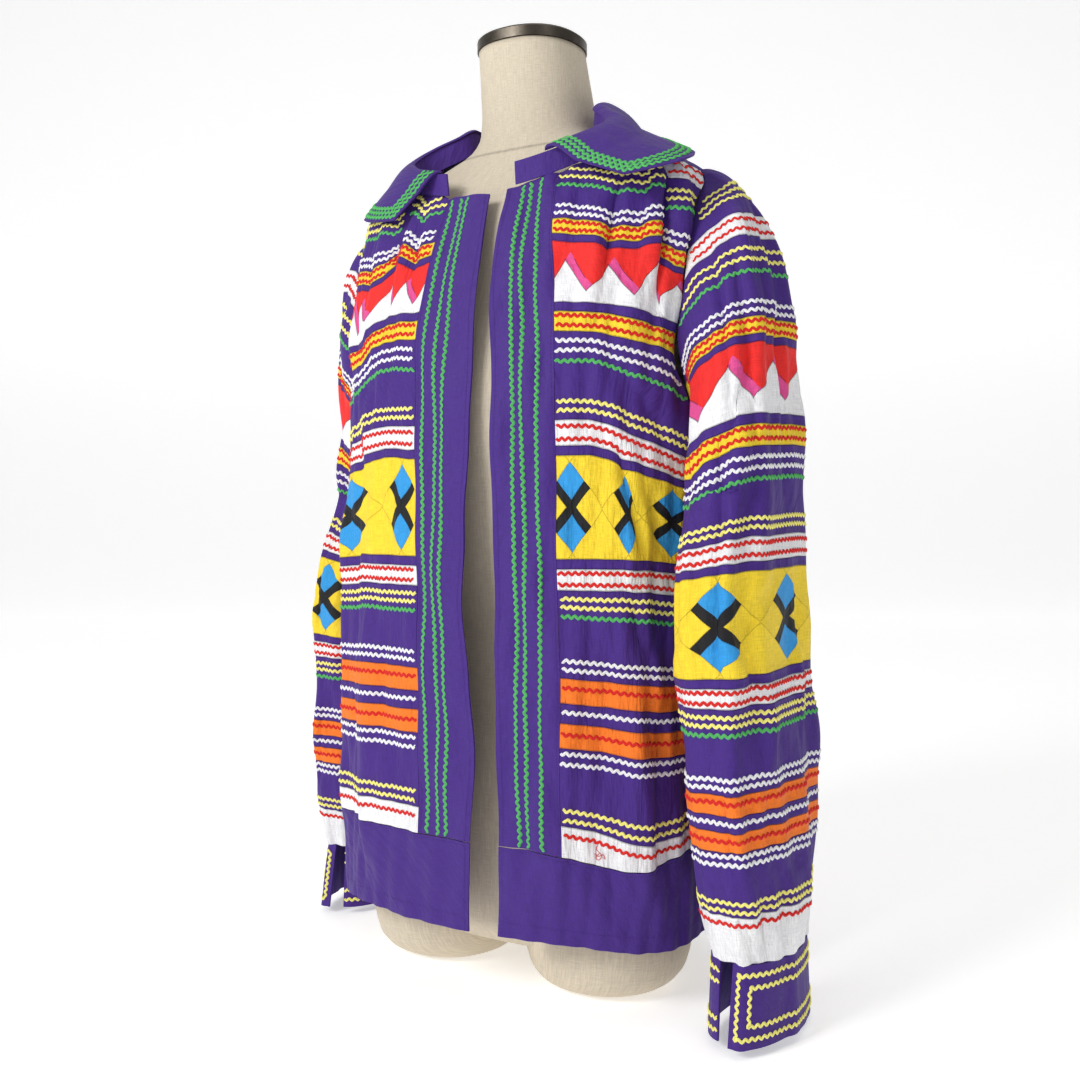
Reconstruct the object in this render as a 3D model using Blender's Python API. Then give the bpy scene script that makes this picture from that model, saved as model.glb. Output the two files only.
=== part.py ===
"""Open-front patchwork jacket worn by a limbless dress form, one closed solid for each cut piece.

Frame: metres, +Z up, the wearer faces -Y and the wearer's left is +X. The stumps of the form
stand on z = 0. Angles round the body run from 0 at the front through 90 at the wearer's left
side to 180 at the back.
"""

import math

import bpy
import numpy as np

WALL = 0.0016
SEAM_GAP = 0.0003
END_GAP = 0.0009
SEAT = 0.0009
RING_POWER = 2.25
SHIFT_Y = -0.0194

HEM_BOTTOM = 0.054
HEM_TOP = 0.121
HEM_FADE = 0.190
HEM_WAVE = 0.0045
NECK_SIDE = 0.676
NECK_FRONT = 0.617
NECK_TURN_DEG = 84.0

# The opening lies a little towards the wearer's left, and closes in near the neck.
OPENING_X = 0.021
OPENING_HALF = 0.0105
BAND_WIDTH = 0.053
PINCH_LOW = 0.500
PINCH_HIGH = 0.640
PINCH = 0.24

UNDERARM = 0.415
SHOULDER_TIP = 0.636
ARMHOLE_HALF_DEG = 20.0
GUSSET_LOW = 0.375
GUSSET_HIGH = 0.525
GUSSET_HALF_DEG = 12.0

NECKBAND_HEIGHT = 0.017
COLLAR_ROLL = 0.006
COLLAR_SPREAD = 1.5
COLLAR_LEAD = 0.30
RIGHT_WING_DEG = 110.0
RIGHT_WING_OVER_DEG = 60.0
RIGHT_WING_SHORTER = 0.26
RIGHT_WING_FLATTER = 0.5
RIGHT_WING_LIFT = 0.16
COLLAR_ROLL_SHARE = 0.55
COLLAR_FALL_POWER = 1.3
COLLAR_STEPS = 6
NECKBAND_LIFT = 0.0018
NECKBAND_OUT = 0.0012
NECKBAND_LEAN = 0.0020
COLLAR_LEFT_DEG = 18.0
COLLAR_RIGHT_DEG = 12.0
NECKBAND_FRONT_DEG = 9.5

CUFF_HEIGHT = 0.055
CUFF_FLARE = 0.07
CUFF_FREE = 0.006
CUFF_OPEN_DEG = 104.0
CUFF_GAP_DEG = 16.0
CUFF_FREE_FROM_DEG = 20.0
CUFF_FREE_OVER_DEG = 60.0
RIGHT_SLEEVE_BACK = 0.078

# How the sleeve's head leaves the armhole, and how it comes down on the first oval.
HEAD_OUT = 0.008
HEAD_OUT_ON_TOP = 0.034
HEAD_AHEAD = 0.012
HEAD_RISE = 0.002
HEAD_DROP = 0.012
HEAD_DROP_ON_TOP = 0.125

STUMP_CENTRE_X = 0.077
STUMP_CENTRE_Y = -0.008
STUMP_HALF_X = 0.065
STUMP_HALF_Y = 0.067
STUMP_JOIN = 0.090
STUMP_POWER = 2.1
# The rounded foot of a stump: its levels and their share of the full size.
STUMP_LEVELS = (0.0, 0.004, 0.012, 0.024, 0.040, 0.062, STUMP_JOIN)
STUMP_SIZES = (0.58, 0.74, 0.88, 0.96, 1.0, 1.0, 0.90)
TORSO_BOTTOM = 0.032
TORSO_FIRST = 0.052
TORSO_BASE_X = 0.80
TORSO_BASE_Y = 0.72
# The torso's rings as runs of even spacing: from, to and how many.
TORSO_RUNS = ((TORSO_FIRST, 0.560, 13), (0.585, 0.690, 9), (0.712, 0.733, 2))
CAP_BOTTOM = 0.7500
CAP_THICK = 0.0095
CAP_PROUD = 0.0014
CAP_EDGE = 0.0016
CAP_LEVELS = (0.0, 0.15, 0.8, 1.0)

# The form's horizontal rings, and how far the jacket's inside stands off each of them.
BODY_COLUMNS = (
    "height",
    "centre_y",
    "half_width",
    "front",
    "back",
    "ease_side",
    "ease_front",
    "ease_back",
)
BODY_ROWS = (
    (0.040, -0.004, 0.137, 0.080, 0.092, 0.023, 0.033, 0.058),
    (0.110, -0.003, 0.149, 0.086, 0.108, 0.011, 0.026, 0.042),
    (0.200, -0.002, 0.138, 0.086, 0.098, 0.022, 0.027, 0.052),
    (0.290, 0.000, 0.116, 0.082, 0.086, 0.044, 0.032, 0.062),
    (0.380, 0.000, 0.122, 0.096, 0.088, 0.038, 0.018, 0.058),
    (0.450, 0.000, 0.132, 0.104, 0.090, 0.028, 0.010, 0.050),
    (0.510, 0.002, 0.140, 0.098, 0.090, 0.019, 0.012, 0.042),
    (0.560, 0.004, 0.147, 0.086, 0.088, 0.012, 0.012, 0.030),
    (0.600, 0.006, 0.151, 0.075, 0.083, 0.007, 0.010, 0.018),
    (0.631, 0.010, 0.146, 0.066, 0.076, 0.004, 0.008, 0.006),
    (0.647, 0.013, 0.124, 0.058, 0.067, 0.0, 0.003, 0.0),
    (0.659, 0.014, 0.092, 0.053, 0.060, 0.0, 0.001, 0.0),
    (0.668, 0.0145, 0.068, 0.049, 0.054, 0.0, 0.0, 0.0),
    (0.678, 0.013, 0.053, 0.0475, 0.050, 0.003, 0.0, 0.003),
    (0.690, 0.011, 0.0485, 0.0460, 0.0470, 0.004, 0.0, 0.004),
    (0.720, 0.005, 0.0450, 0.0440, 0.0440, 0.0, 0.0, 0.0),
    (0.753, -0.002, 0.0425, 0.0425, 0.0425, 0.0, 0.0, 0.0),
)

# Folds that stand out of the jacket's body, mirrored to both sides. Lean moves a fold round the
# body, in degrees for each metre up.
FOLD_COLUMNS = ("angle", "half_deg", "low", "high", "depth", "lean")
BODY_FOLDS = (
    (38.0, 7.0, 0.490, 0.650, 0.0070, 0.0),
    (53.0, 7.0, 0.480, 0.655, 0.0080, -10.0),
    (69.0, 7.0, 0.490, 0.655, 0.0070, -15.0),
    (30.0, 9.0, 0.060, 0.300, 0.0070, 20.0),
    (54.0, 8.0, 0.030, 0.440, 0.0080, -35.0),
    (132.0, 15.0, 0.020, 0.600, 0.0400, -10.0),
    (156.0, 9.0, 0.030, 0.400, 0.0110, 15.0),
    (162.0, 9.0, 0.510, 0.665, 0.0070, 10.0),
    (138.0, 9.0, 0.530, 0.650, 0.0060, 20.0),
    (180.0, 10.0, 0.030, 0.480, 0.0070, 0.0),
)

# Horizontal ovals of the sleeve below the underarm.
SLEEVE_COLUMNS = ("height", "centre_x", "centre_y", "half_x", "half_y")
SLEEVE_ROWS = (
    (0.385, 0.1965, -0.0200, 0.0290, 0.058),
    (0.310, 0.2000, -0.0330, 0.0310, 0.071),
    (0.215, 0.2050, -0.0320, 0.0315, 0.067),
    (0.140, 0.2100, -0.0320, 0.0310, 0.063),
    (0.090, 0.2130, -0.0310, 0.0290, 0.055),
    (0.062, 0.2150, -0.0300, 0.0260, 0.049),
)
SLEEVE_TOP = SLEEVE_ROWS[0][0]
SLEEVE_END = SLEEVE_ROWS[-1][0]
SLEEVE_POWER = 2.4

# Folds of the sleeve: where they lie round its oval (0 outward, 90 front, 180 inward, 270 back).
SLEEVE_FOLDS = (
    (24.0, 11.0, 0.100, 0.560, 0.0065, 30.0),
    (58.0, 10.0, 0.050, 0.480, 0.0055, -40.0),
    (350.0, 10.0, 0.040, 0.330, 0.0060, -45.0),
    (315.0, 11.0, 0.050, 0.520, 0.0100, 35.0),
    (285.0, 10.0, 0.040, 0.380, 0.0060, 20.0),
    (74.0, 9.0, 0.050, 0.140, 0.0040, 0.0),
    (8.0, 9.0, 0.050, 0.130, 0.0045, 0.0),
)
HEAD_FOLDS = (
    (8.0, 9.0, 0.480, 0.640, 0.0080, 0.0),
    (36.0, 9.0, 0.470, 0.640, 0.0085, 0.0),
    (330.0, 9.0, 0.475, 0.640, 0.0080, 0.0),
)

# The collar's outer edge at angles round the neck: its length, which way it lies, and its fall.
COLLAR_COLUMNS = ("angle", "reach", "direction", "fall")
COLLAR_ROWS = (
    (12.0, 0.056, 74.0, 0.041),
    (30.0, 0.070, 80.0, 0.042),
    (52.0, 0.062, 86.0, 0.042),
    (78.0, 0.050, 94.0, 0.038),
    (108.0, 0.047, 110.0, 0.036),
    (144.0, 0.045, 144.0, 0.036),
    (180.0, 0.047, 180.0, 0.036),
)

BAND_COLUMNS = 2
GUSSET_COLUMNS = 3
CUFF_COLUMNS = 24
CUFF_STEPS = 3
FRONT_COLUMNS = 18
BACK_COLUMNS = 26
PANEL_STEPS = 22
HEM_COLUMNS = 48
SLEEVE_SIDES = 28
SLEEVE_STEPS = 24
HEAD_STEPS = 8
COLLAR_SPANS = 30
FORM_SIDES = 28
TOP_CROWD = 1.6
SEAM_RADIUS = 0.15
ARMHOLE_RADIUS = 0.11
DIFFERENCE = 0.0004

COLOURS = {
    "cotton": (0.080, 0.030, 0.260, 1.0),
    "patchwork": (0.500, 0.220, 0.100, 1.0),
    "linen": (0.600, 0.530, 0.420, 1.0),
    "cap": (0.080, 0.070, 0.060, 1.0),
}
COTTON_ROUGH = 0.8
LINEN_ROUGH = 0.9
CAP_ROUGH = 0.35


def clear_scene():
    for thing in list(bpy.data.objects):
        bpy.data.objects.remove(thing)


def material(name, colour, rough, metallic=0.0):
    made = bpy.data.materials.get(name)
    if made is None:
        made = bpy.data.materials.new(name)
        made.use_nodes = True
        shader = made.node_tree.nodes["Principled BSDF"]
        shader.inputs["Base Color"].default_value = COLOURS[colour]
        shader.inputs["Roughness"].default_value = rough
        shader.inputs["Metallic"].default_value = metallic
    return made


def column(rows, columns, name):
    return np.array([row[columns.index(name)] for row in rows])


def smooth_read(known, values, wanted):
    """Values at the wanted places, on a curve with no kinks through the known ones."""
    known = np.asarray(known, float)
    values = np.asarray(values, float)
    slopes = np.gradient(values, known)
    wanted = np.clip(np.asarray(wanted, float), known[0], known[-1])
    index = np.clip(np.searchsorted(known, wanted) - 1, 0, len(known) - 2)
    span = known[index + 1] - known[index]
    t = (wanted - known[index]) / span
    start = (1 + 2 * t) * (1 - t) ** 2 * values[index]
    end = t * t * (3 - 2 * t) * values[index + 1]
    bend = t * (1 - t) ** 2 * slopes[index] - t * t * (1 - t) * slopes[index + 1]
    return start + end + bend * span


def soft_step(value):
    value = np.clip(value, 0.0, 1.0)
    return value * value * (3 - 2 * value)


def body_read(name, height):
    heights = column(BODY_ROWS, BODY_COLUMNS, "height")
    return smooth_read(heights, column(BODY_ROWS, BODY_COLUMNS, name), height)


def oval(angle, half_x, front, back, power):
    """A rounded ring, from its front towards +X."""
    side = np.sin(angle)
    fore = np.cos(angle)
    x = half_x * np.sign(side) * np.abs(side) ** (2 / power)
    depth = np.where(fore > 0, front, back)
    y = -depth * np.sign(fore) * np.abs(fore) ** (2 / power)
    return x, y


def form_point(angle, height):
    x, y = oval(
        angle,
        body_read("half_width", height),
        body_read("front", height),
        body_read("back", height),
        RING_POWER,
    )
    return np.stack([x, y + body_read("centre_y", height), height + 0 * x], axis=-1)


def ridge(offset, half):
    return np.exp(-0.5 * (offset / (0.55 * half)) ** 2)


def fold_depth(degrees, height, folds):
    """How far the folds stand out at an angle, each fading to nothing at its two ends."""
    total = 0.0 * degrees
    for angle, half, low, high, depth, lean in folds:
        middle = angle + lean * (height - 0.5 * (low + high))
        offset = (degrees - middle + 180.0) % 360.0 - 180.0
        along = (height - low) / (high - low)
        window = soft_step(along * 4.0) * soft_step((1 - along) * 4.0)
        total = total + depth * window * ridge(offset, half)
    return total


def jacket_point(angle, height):
    """The inside of the jacket's body, always outside the form."""
    half = body_read("half_width", height) + SEAT + body_read("ease_side", height)
    front = body_read("front", height) + SEAT + body_read("ease_front", height)
    back = body_read("back", height) + SEAT + body_read("ease_back", height)
    x, y = oval(angle, half, front, back, RING_POWER)
    degrees = np.abs(np.degrees(angle + np.pi) % 360.0 - 180.0)
    out = fold_depth(degrees, height, BODY_FOLDS)
    size = np.hypot(x, y)
    grown = 1 + out / size
    return np.stack(
        [x * grown, y * grown + body_read("centre_y", height), height + SEAT + 0 * x], axis=-1
    )


def hem_height(angle, height):
    """Lets the hem wave up and down a little, fading out above it."""
    fade = np.clip((HEM_FADE - height) / (HEM_FADE - HEM_BOTTOM), 0.0, 1.0)
    wave = np.cos(3 * angle) - 0.5 * np.cos(5 * angle)
    return height + HEM_WAVE * wave * fade


def body_surface(angle, height):
    return jacket_point(angle, hem_height(angle, height))


def normals_of(surface, first, second):
    """Unit normals of a surface given by two numbers, by small differences."""
    along = surface(first + DIFFERENCE, second) - surface(first - DIFFERENCE, second)
    up = surface(first, second + DIFFERENCE) - surface(first, second - DIFFERENCE)
    cross = np.cross(along, up)
    return cross / np.linalg.norm(cross, axis=-1, keepdims=True)


def angle_of_x(x, height):
    """The angle at which the body's ring passes a sideways place."""
    half = body_read("half_width", height) + SEAT + body_read("ease_side", height)
    share = np.clip(np.abs(x) / half, 0.0, 0.95)
    return np.sign(x) * np.arcsin(share ** (RING_POWER / 2))


def neck_height(angle):
    turned = np.abs(np.degrees(angle + np.pi) % 360.0 - 180.0)
    return NECK_FRONT + (NECK_SIDE - NECK_FRONT) * soft_step(turned / NECK_TURN_DEG)


def armhole_half(height):
    """Half the armhole's width in degrees, an eye shape between the underarm and the tip."""
    along = np.clip((height - UNDERARM) / (SHOULDER_TIP - UNDERARM), 0.0, 1.0)
    return ARMHOLE_HALF_DEG * np.sin(np.pi * along) ** 0.62


def gusset_half(height):
    along = np.clip((height - GUSSET_LOW) / (GUSSET_HIGH - GUSSET_LOW), 0.0, 1.0)
    return GUSSET_HALF_DEG * np.sin(np.pi * along) ** 0.8


def between_edges(left, right, heights, across):
    """Angles from one edge to the other at each height, half a seam's gap inside both."""
    gap = 0.5 * SEAM_GAP / SEAM_RADIUS
    start = left(heights) + gap
    end = right(heights) - gap
    return start + (end - start) * across


def panel_grid(left, right, bottom, top, columns, steps):
    """Angles and heights over a panel between two edges and two ends, closer near its top."""
    across = np.linspace(0.0, 1.0, columns + 1)[None, :]
    along = 1 - (1 - np.linspace(0.0, 1.0, steps + 1)[:, None]) ** TOP_CROWD
    low = bottom(across)
    heights = low + (top(across) - low) * along
    return between_edges(left, right, heights, across), heights


def shell(name, inner, normals, look, closed=False, wall=WALL):
    """A closed wall on a grid of inner points, its rows running along the normals' left side."""
    rows, columns = inner.shape[:2]
    outer = inner + normals * wall
    points = np.concatenate([inner.reshape(-1, 3), outer.reshape(-1, 3)])
    far = rows * columns
    faces = []
    spans = columns if closed else columns - 1
    for i in range(rows - 1):
        for j in range(spans):
            k = (j + 1) % columns
            a, b = i * columns + j, i * columns + k
            c, d = (i + 1) * columns + k, (i + 1) * columns + j
            faces.append((far + a, far + b, far + c, far + d))
            faces.append((d, c, b, a))
    for j in range(spans):
        k = (j + 1) % columns
        last = (rows - 1) * columns
        faces.append((j, k, far + k, far + j))
        faces.append((last + k, last + j, far + last + j, far + last + k))
    if not closed:
        for i in range(rows - 1):
            a, d = i * columns, (i + 1) * columns
            b, c = a + columns - 1, d + columns - 1
            faces.append((d, a, far + a, far + d))
            faces.append((b, c, far + c, far + b))
    return add_mesh(name, points, faces, look)


def add_mesh(name, points, faces, look):
    points = np.asarray(points, float) + np.array([0.0, SHIFT_Y, 0.0])
    mesh = bpy.data.meshes.new(name)
    mesh.from_pydata([tuple(point) for point in points], [], faces)
    mesh.validate()
    mesh.shade_smooth()
    mesh.set_sharp_from_angle(angle=math.radians(50))
    thing = bpy.data.objects.new(name, mesh)
    bpy.context.scene.collection.objects.link(thing)
    thing.data.materials.append(look)
    return thing


def body_shell(name, angles, heights, look):
    normals = normals_of(body_surface, angles, heights)
    return shell(name, body_surface(angles, heights), normals, look)


def edge_angle(side, from_middle, height):
    """Where a line at this distance from the opening's middle lies, on one side of it."""
    pinch = 1 - PINCH * soft_step((height - PINCH_LOW) / (PINCH_HIGH - PINCH_LOW))
    return angle_of_x((OPENING_X + side * from_middle) * pinch, height)


def seam_angle(side, height):
    return edge_angle(side, OPENING_HALF + BAND_WIDTH, height)


def side_front(height):
    return np.radians(90.0 - armhole_half(height))


def side_back(height):
    return np.radians(90.0 + armhole_half(height))


def gusset_back(height):
    return np.radians(90.0 + armhole_half(height) + gusset_half(height))


def other_gusset_back(height):
    return 2 * np.pi - gusset_back(height)


def neck_end(side, from_middle):
    """The height at which such a line meets the neckline."""
    height = NECK_FRONT
    for _ in range(8):
        height = float(neck_height(edge_angle(side, from_middle, np.float64(height))))
    return height - 2 * SEAM_GAP


def one_side(name, side, near_edge, far_edge, ends, columns, look):
    """A front piece, given by its edges from the opening outwards and the heights of its top."""
    near_top, far_top = ends
    rounding = np.linspace(0.0, 1.0, columns + 1)[None, :]
    tops = near_top + (far_top - near_top) * rounding ** 0.8
    edges = (near_edge, far_edge)
    if side < 0:
        edges = (far_edge, near_edge)
        tops = tops[:, ::-1]
    angles, heights = panel_grid(
        edges[0],
        edges[1],
        lambda across: HEM_TOP + END_GAP + 0 * across,
        lambda across: tops,
        columns,
        PANEL_STEPS,
    )
    body_shell(name, angles, heights, look)


def build_bands(look):
    """The plain strips down both front edges."""
    for name, side in (("front_band_left", 1), ("front_band_right", -1)):
        ends = (neck_end(side, OPENING_HALF), neck_end(side, OPENING_HALF + BAND_WIDTH))
        one_side(
            name,
            side,
            lambda height, side=side: edge_angle(side, OPENING_HALF, height),
            lambda height, side=side: seam_angle(side, height),
            ends,
            BAND_COLUMNS,
            look,
        )


def build_fronts(look):
    """The patchwork fronts, gathered into the neckline."""
    for name, side in (("front_left", 1), ("front_right", -1)):
        ends = (neck_end(side, OPENING_HALF + BAND_WIDTH), NECK_SIDE)
        one_side(
            name,
            side,
            lambda height, side=side: seam_angle(side, height),
            lambda height, side=side: side * side_front(height),
            ends,
            FRONT_COLUMNS,
            look,
        )


def back_grid():
    return panel_grid(
        gusset_back,
        other_gusset_back,
        lambda across: HEM_TOP + END_GAP + 0 * across,
        lambda across: NECK_SIDE + 0 * across,
        BACK_COLUMNS,
        PANEL_STEPS,
    )


def build_back(look):
    angles, heights = back_grid()
    body_shell("back", angles, heights, look)


def build_gussets(look):
    """The leaf-shaped pieces behind both underarms, with their rows at the back's own heights."""
    rows = back_grid()[1][:, 0]
    rows = rows[(rows > GUSSET_LOW) & (rows < GUSSET_HIGH)][:, None]
    across = np.linspace(0.0, 1.0, GUSSET_COLUMNS + 1)[None, :]
    heights = rows + 0 * across
    angles = between_edges(side_back, gusset_back, heights, across)
    body_shell("gusset_left", angles, heights, look)
    body_shell("gusset_right", 2 * np.pi - angles[:, ::-1], heights, look)


def build_hem(look):
    """The plain band round the whole hem, open at the front."""
    start = edge_angle(1, OPENING_HALF, np.float64(HEM_TOP))
    end = 2 * np.pi + edge_angle(-1, OPENING_HALF, np.float64(HEM_TOP))
    across = np.linspace(0.0, 1.0, HEM_COLUMNS + 1)[None, :]
    angles = start + (end - start) * across
    heights = np.linspace(HEM_BOTTOM, HEM_TOP, 3)[:, None]
    angles = angles + 0 * heights
    heights = heights + 0 * angles
    body_shell("hem_band", angles, heights, look)


def neck_line(angle):
    """The seam where the neckband joins the body."""
    return body_surface(angle, neck_height(angle))


def neck_out(angle):
    return np.stack([np.sin(angle), -np.cos(angle), 0 * angle], axis=-1)


def collar_angles():
    """From the collar's front corner on the wearer's left, round the back, to the right one."""
    start = math.radians(COLLAR_LEFT_DEG)
    return np.linspace(start, 2 * np.pi - math.radians(COLLAR_RIGHT_DEG), COLLAR_SPANS + 1)[None, :]


def build_neckband(look):
    start = math.radians(NECKBAND_FRONT_DEG)
    angles = np.linspace(start, 2 * np.pi - start, COLLAR_SPANS + 3)[None, :]
    rise = np.linspace(0.0, 1.0, 3)[:, None]
    angles = angles + 0 * rise
    base = neck_line(angles)
    lift = SEAM_GAP + NECKBAND_LIFT + rise * NECKBAND_HEIGHT
    inner = base.copy()
    inner[..., 2] += lift
    inner = inner + neck_out(angles) * (NECKBAND_OUT + NECKBAND_LEAN * rise)[..., None]
    shell("neckband", inner, neck_out(angles), look)


def collar_surface(angle, across):
    """The collar: up from the neckband, over its roll and out to its edge."""
    turned = np.degrees(angle)
    folded = np.where(turned > 180.0, 360.0 - turned, turned)
    side = np.where(turned > 180.0, -1.0, 1.0)
    known = column(COLLAR_ROWS, COLLAR_COLUMNS, "angle")
    reach = smooth_read(known, column(COLLAR_ROWS, COLLAR_COLUMNS, "reach"), folded)
    lies = smooth_read(known, column(COLLAR_ROWS, COLLAR_COLUMNS, "direction"), folded)
    fall = smooth_read(known, column(COLLAR_ROWS, COLLAR_COLUMNS, "fall"), folded)
    right_wing = (1 - side) / 2 * soft_step((RIGHT_WING_DEG - folded) / RIGHT_WING_OVER_DEG)
    reach = reach * (1 - RIGHT_WING_SHORTER * right_wing)
    fall = fall * (1 - RIGHT_WING_LIFT * right_wing)
    roll = COLLAR_ROLL * (1 - RIGHT_WING_FLATTER * right_wing)
    base = neck_line(angle) + neck_out(angle) * (NECKBAND_OUT + NECKBAND_LEAN)
    way = np.stack([side * np.sin(np.radians(lies)), -np.cos(np.radians(lies)), 0 * lies], -1)
    out = reach * across ** COLLAR_SPREAD
    ahead = reach * COLLAR_LEAD * across * (1.2 - across)
    bump = roll * np.sin(np.pi * np.clip(across / COLLAR_ROLL_SHARE, 0.0, 1.0))
    foot = NECKBAND_HEIGHT + NECKBAND_LIFT + 5 * SEAM_GAP
    rise = foot + bump - fall * across**COLLAR_FALL_POWER
    point = base + way * out[..., None] + neck_out(angle) * ahead[..., None]
    point[..., 2] += rise
    return point


def build_collar(look):
    angles = collar_angles()
    across = np.linspace(0.0, 1.0, COLLAR_STEPS + 1)[:, None]
    angles = angles + 0 * across
    across = across + 0 * angles
    inner = collar_surface(angles, across)
    along = np.gradient(inner, axis=1)
    outward = np.gradient(inner, axis=0)
    normals = np.cross(outward, along)
    normals /= np.linalg.norm(normals, axis=-1, keepdims=True)
    shell("collar", inner[:, ::-1], normals[:, ::-1], look)


def armhole_point(turn):
    """The sleeve's first ring, inside the armhole's edge. Turn is 0 on top and 90 in front."""
    middle = 0.5 * (UNDERARM + SHOULDER_TIP)
    half = 0.5 * (SHOULDER_TIP - UNDERARM)
    inset = WALL + 2 * SEAM_GAP
    height = middle + (half - 1.6 * inset) * np.cos(turn)
    spread = np.radians(armhole_half(height)) - inset / ARMHOLE_RADIUS
    angle = np.pi / 2 - np.sign(np.sin(turn)) * np.maximum(spread, 0.0) * np.abs(
        np.sin(turn)
    ) ** 0.3
    point = body_surface(angle, height)
    point[..., 0] += 2 * SEAM_GAP
    return point


def sleeve_read(name, height):
    known = column(SLEEVE_ROWS, SLEEVE_COLUMNS, "height")[::-1]
    values = column(SLEEVE_ROWS, SLEEVE_COLUMNS, name)[::-1]
    return smooth_read(known, values, height)


def sleeve_centre_y(side, height):
    """The wearer's right sleeve hangs further back than the left one."""
    return sleeve_read("centre_y", height) + RIGHT_SLEEVE_BACK * (1 - side) / 2


def sleeve_oval(side, turn, height):
    """A horizontal ring of the sleeve. Turn is 0 outward and 90 in front."""
    ahead = np.cos(turn)
    fore = np.sin(turn)
    x = sleeve_read("half_x", height) * np.sign(ahead) * np.abs(ahead) ** (2 / SLEEVE_POWER)
    y = -sleeve_read("half_y", height) * np.sign(fore) * np.abs(fore) ** (2 / SLEEVE_POWER)
    out = fold_depth(np.degrees(turn) % 360.0, height, SLEEVE_FOLDS)
    grown = 1 + out / np.hypot(x, y)
    centre_x = sleeve_read("centre_x", height)
    centre_y = sleeve_centre_y(side, height)
    return np.stack([centre_x + x * grown, centre_y + y * grown, height + 0 * x], axis=-1)


def sleeve_point(side, turn, along):
    """The inside of the sleeve. Along is 0 at the armhole, 1 at the first oval, 2 at the cuff."""
    first = armhole_point(turn)
    upper = np.clip(along, 0.0, 1.0)
    lower = np.clip(along - 1.0, 0.0, 1.0)
    height = SLEEVE_TOP + (SLEEVE_END - SLEEVE_TOP) * lower
    ring = sleeve_oval(side, turn, height)
    topness = 0.5 + 0.5 * np.cos(turn)
    away = HEAD_OUT + HEAD_OUT_ON_TOP * topness
    out = np.stack([away, -HEAD_AHEAD * np.sin(turn), HEAD_RISE + 0 * turn], -1)
    lift = np.stack([0 * turn, 0 * turn, HEAD_DROP + HEAD_DROP_ON_TOP * topness], -1)
    second = first + out
    third = ring + lift
    share = upper[..., None]
    head = (
        first * (1 - share) ** 3
        + second * 3 * share * (1 - share) ** 2
        + third * 3 * share**2 * (1 - share)
        + ring * share**3
    )
    puff = fold_depth(np.degrees(turn) % 360.0, head[..., 2], HEAD_FOLDS)
    push = np.stack([np.cos(turn), -np.sin(turn), 0 * turn], -1)
    return head + push * (puff * upper * (1 - upper) * 3)[..., None]


def build_sleeves(look):
    turns = np.linspace(0.0, 2 * np.pi, SLEEVE_SIDES, endpoint=False)[None, :]
    upper = np.linspace(0.0, 1.0, HEAD_STEPS + 1)
    lower = np.linspace(1.0, 2.0, SLEEVE_STEPS - HEAD_STEPS + 1)[1:]
    steps = np.concatenate([upper, lower])[:, None]
    turns = turns + 0 * steps
    steps = steps + 0 * turns
    for name, side in (("sleeve_left", 1), ("sleeve_right", -1)):
        inner = sleeve_point(side, turns, steps)
        around = np.roll(inner, -1, axis=1) - np.roll(inner, 1, axis=1)
        down = np.gradient(inner, axis=0)
        normals = np.cross(around, down)
        normals /= np.linalg.norm(normals, axis=-1, keepdims=True)
        sided_shell(name, side, inner, normals, look, closed=True)


def sided_shell(name, side, inner, normals, look, closed=False):
    """A shell worked out for the wearer's left, turned over where it is for the right."""
    if side < 0:
        flip = np.array([-1.0, 1.0, 1.0])
        inner = (inner * flip)[:, ::-1]
        normals = (normals * flip)[:, ::-1]
    shell(name, inner, normals, look, closed)


def cuff_point(side, turn, rise):
    """The inside of the cuff. Rise is 0 at the sleeve and 1 at the cuff's lower edge."""
    point = sleeve_oval(side, turn, SLEEVE_END + 0 * turn)
    centre_x = SLEEVE_ROWS[-1][1]
    centre_y = sleeve_centre_y(side, SLEEVE_END)
    flare = 1 + CUFF_FLARE * rise
    point[..., 0] = centre_x + (point[..., 0] - centre_x) * flare
    point[..., 1] = centre_y + (point[..., 1] - centre_y) * flare
    free = soft_step((np.degrees(turn) - CUFF_FREE_FROM_DEG) / CUFF_FREE_OVER_DEG)
    point[..., 1] -= CUFF_FREE * free * rise
    point[..., 2] = SLEEVE_END - END_GAP - CUFF_HEIGHT * rise
    return point


def build_cuffs(look):
    """Unbuttoned cuffs: a strip round the sleeve's end whose front end hangs free."""
    gap = math.radians(CUFF_GAP_DEG)
    start = math.radians(CUFF_OPEN_DEG) - gap
    turns = np.linspace(start, start - 2 * np.pi + gap, CUFF_COLUMNS + 1)[None, :]
    rise = np.linspace(0.0, 1.0, CUFF_STEPS + 1)[:, None]
    turns = turns + 0 * rise
    rise = rise + 0 * turns
    for name, side in (("cuff_left", 1), ("cuff_right", -1)):
        inner = cuff_point(side, turns, rise)[:, ::-1]
        along = np.gradient(inner, axis=1)
        down = np.gradient(inner, axis=0)
        normals = np.cross(along, down)
        normals /= np.linalg.norm(normals, axis=-1, keepdims=True)
        sided_shell(name, side, inner, normals, look)


def closed_rings(name, rings, look):
    """A solid through rings of points, with a flat cap on each end."""
    rows, sides = rings.shape[:2]
    faces = []
    for i in range(rows - 1):
        for j in range(sides):
            k = (j + 1) % sides
            faces.append((i * sides + j, i * sides + k, (i + 1) * sides + k, (i + 1) * sides + j))
    faces.append(tuple(reversed(range(sides))))
    faces.append(tuple(range((rows - 1) * sides, rows * sides)))
    return add_mesh(name, rings.reshape(-1, 3), faces, look)


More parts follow.
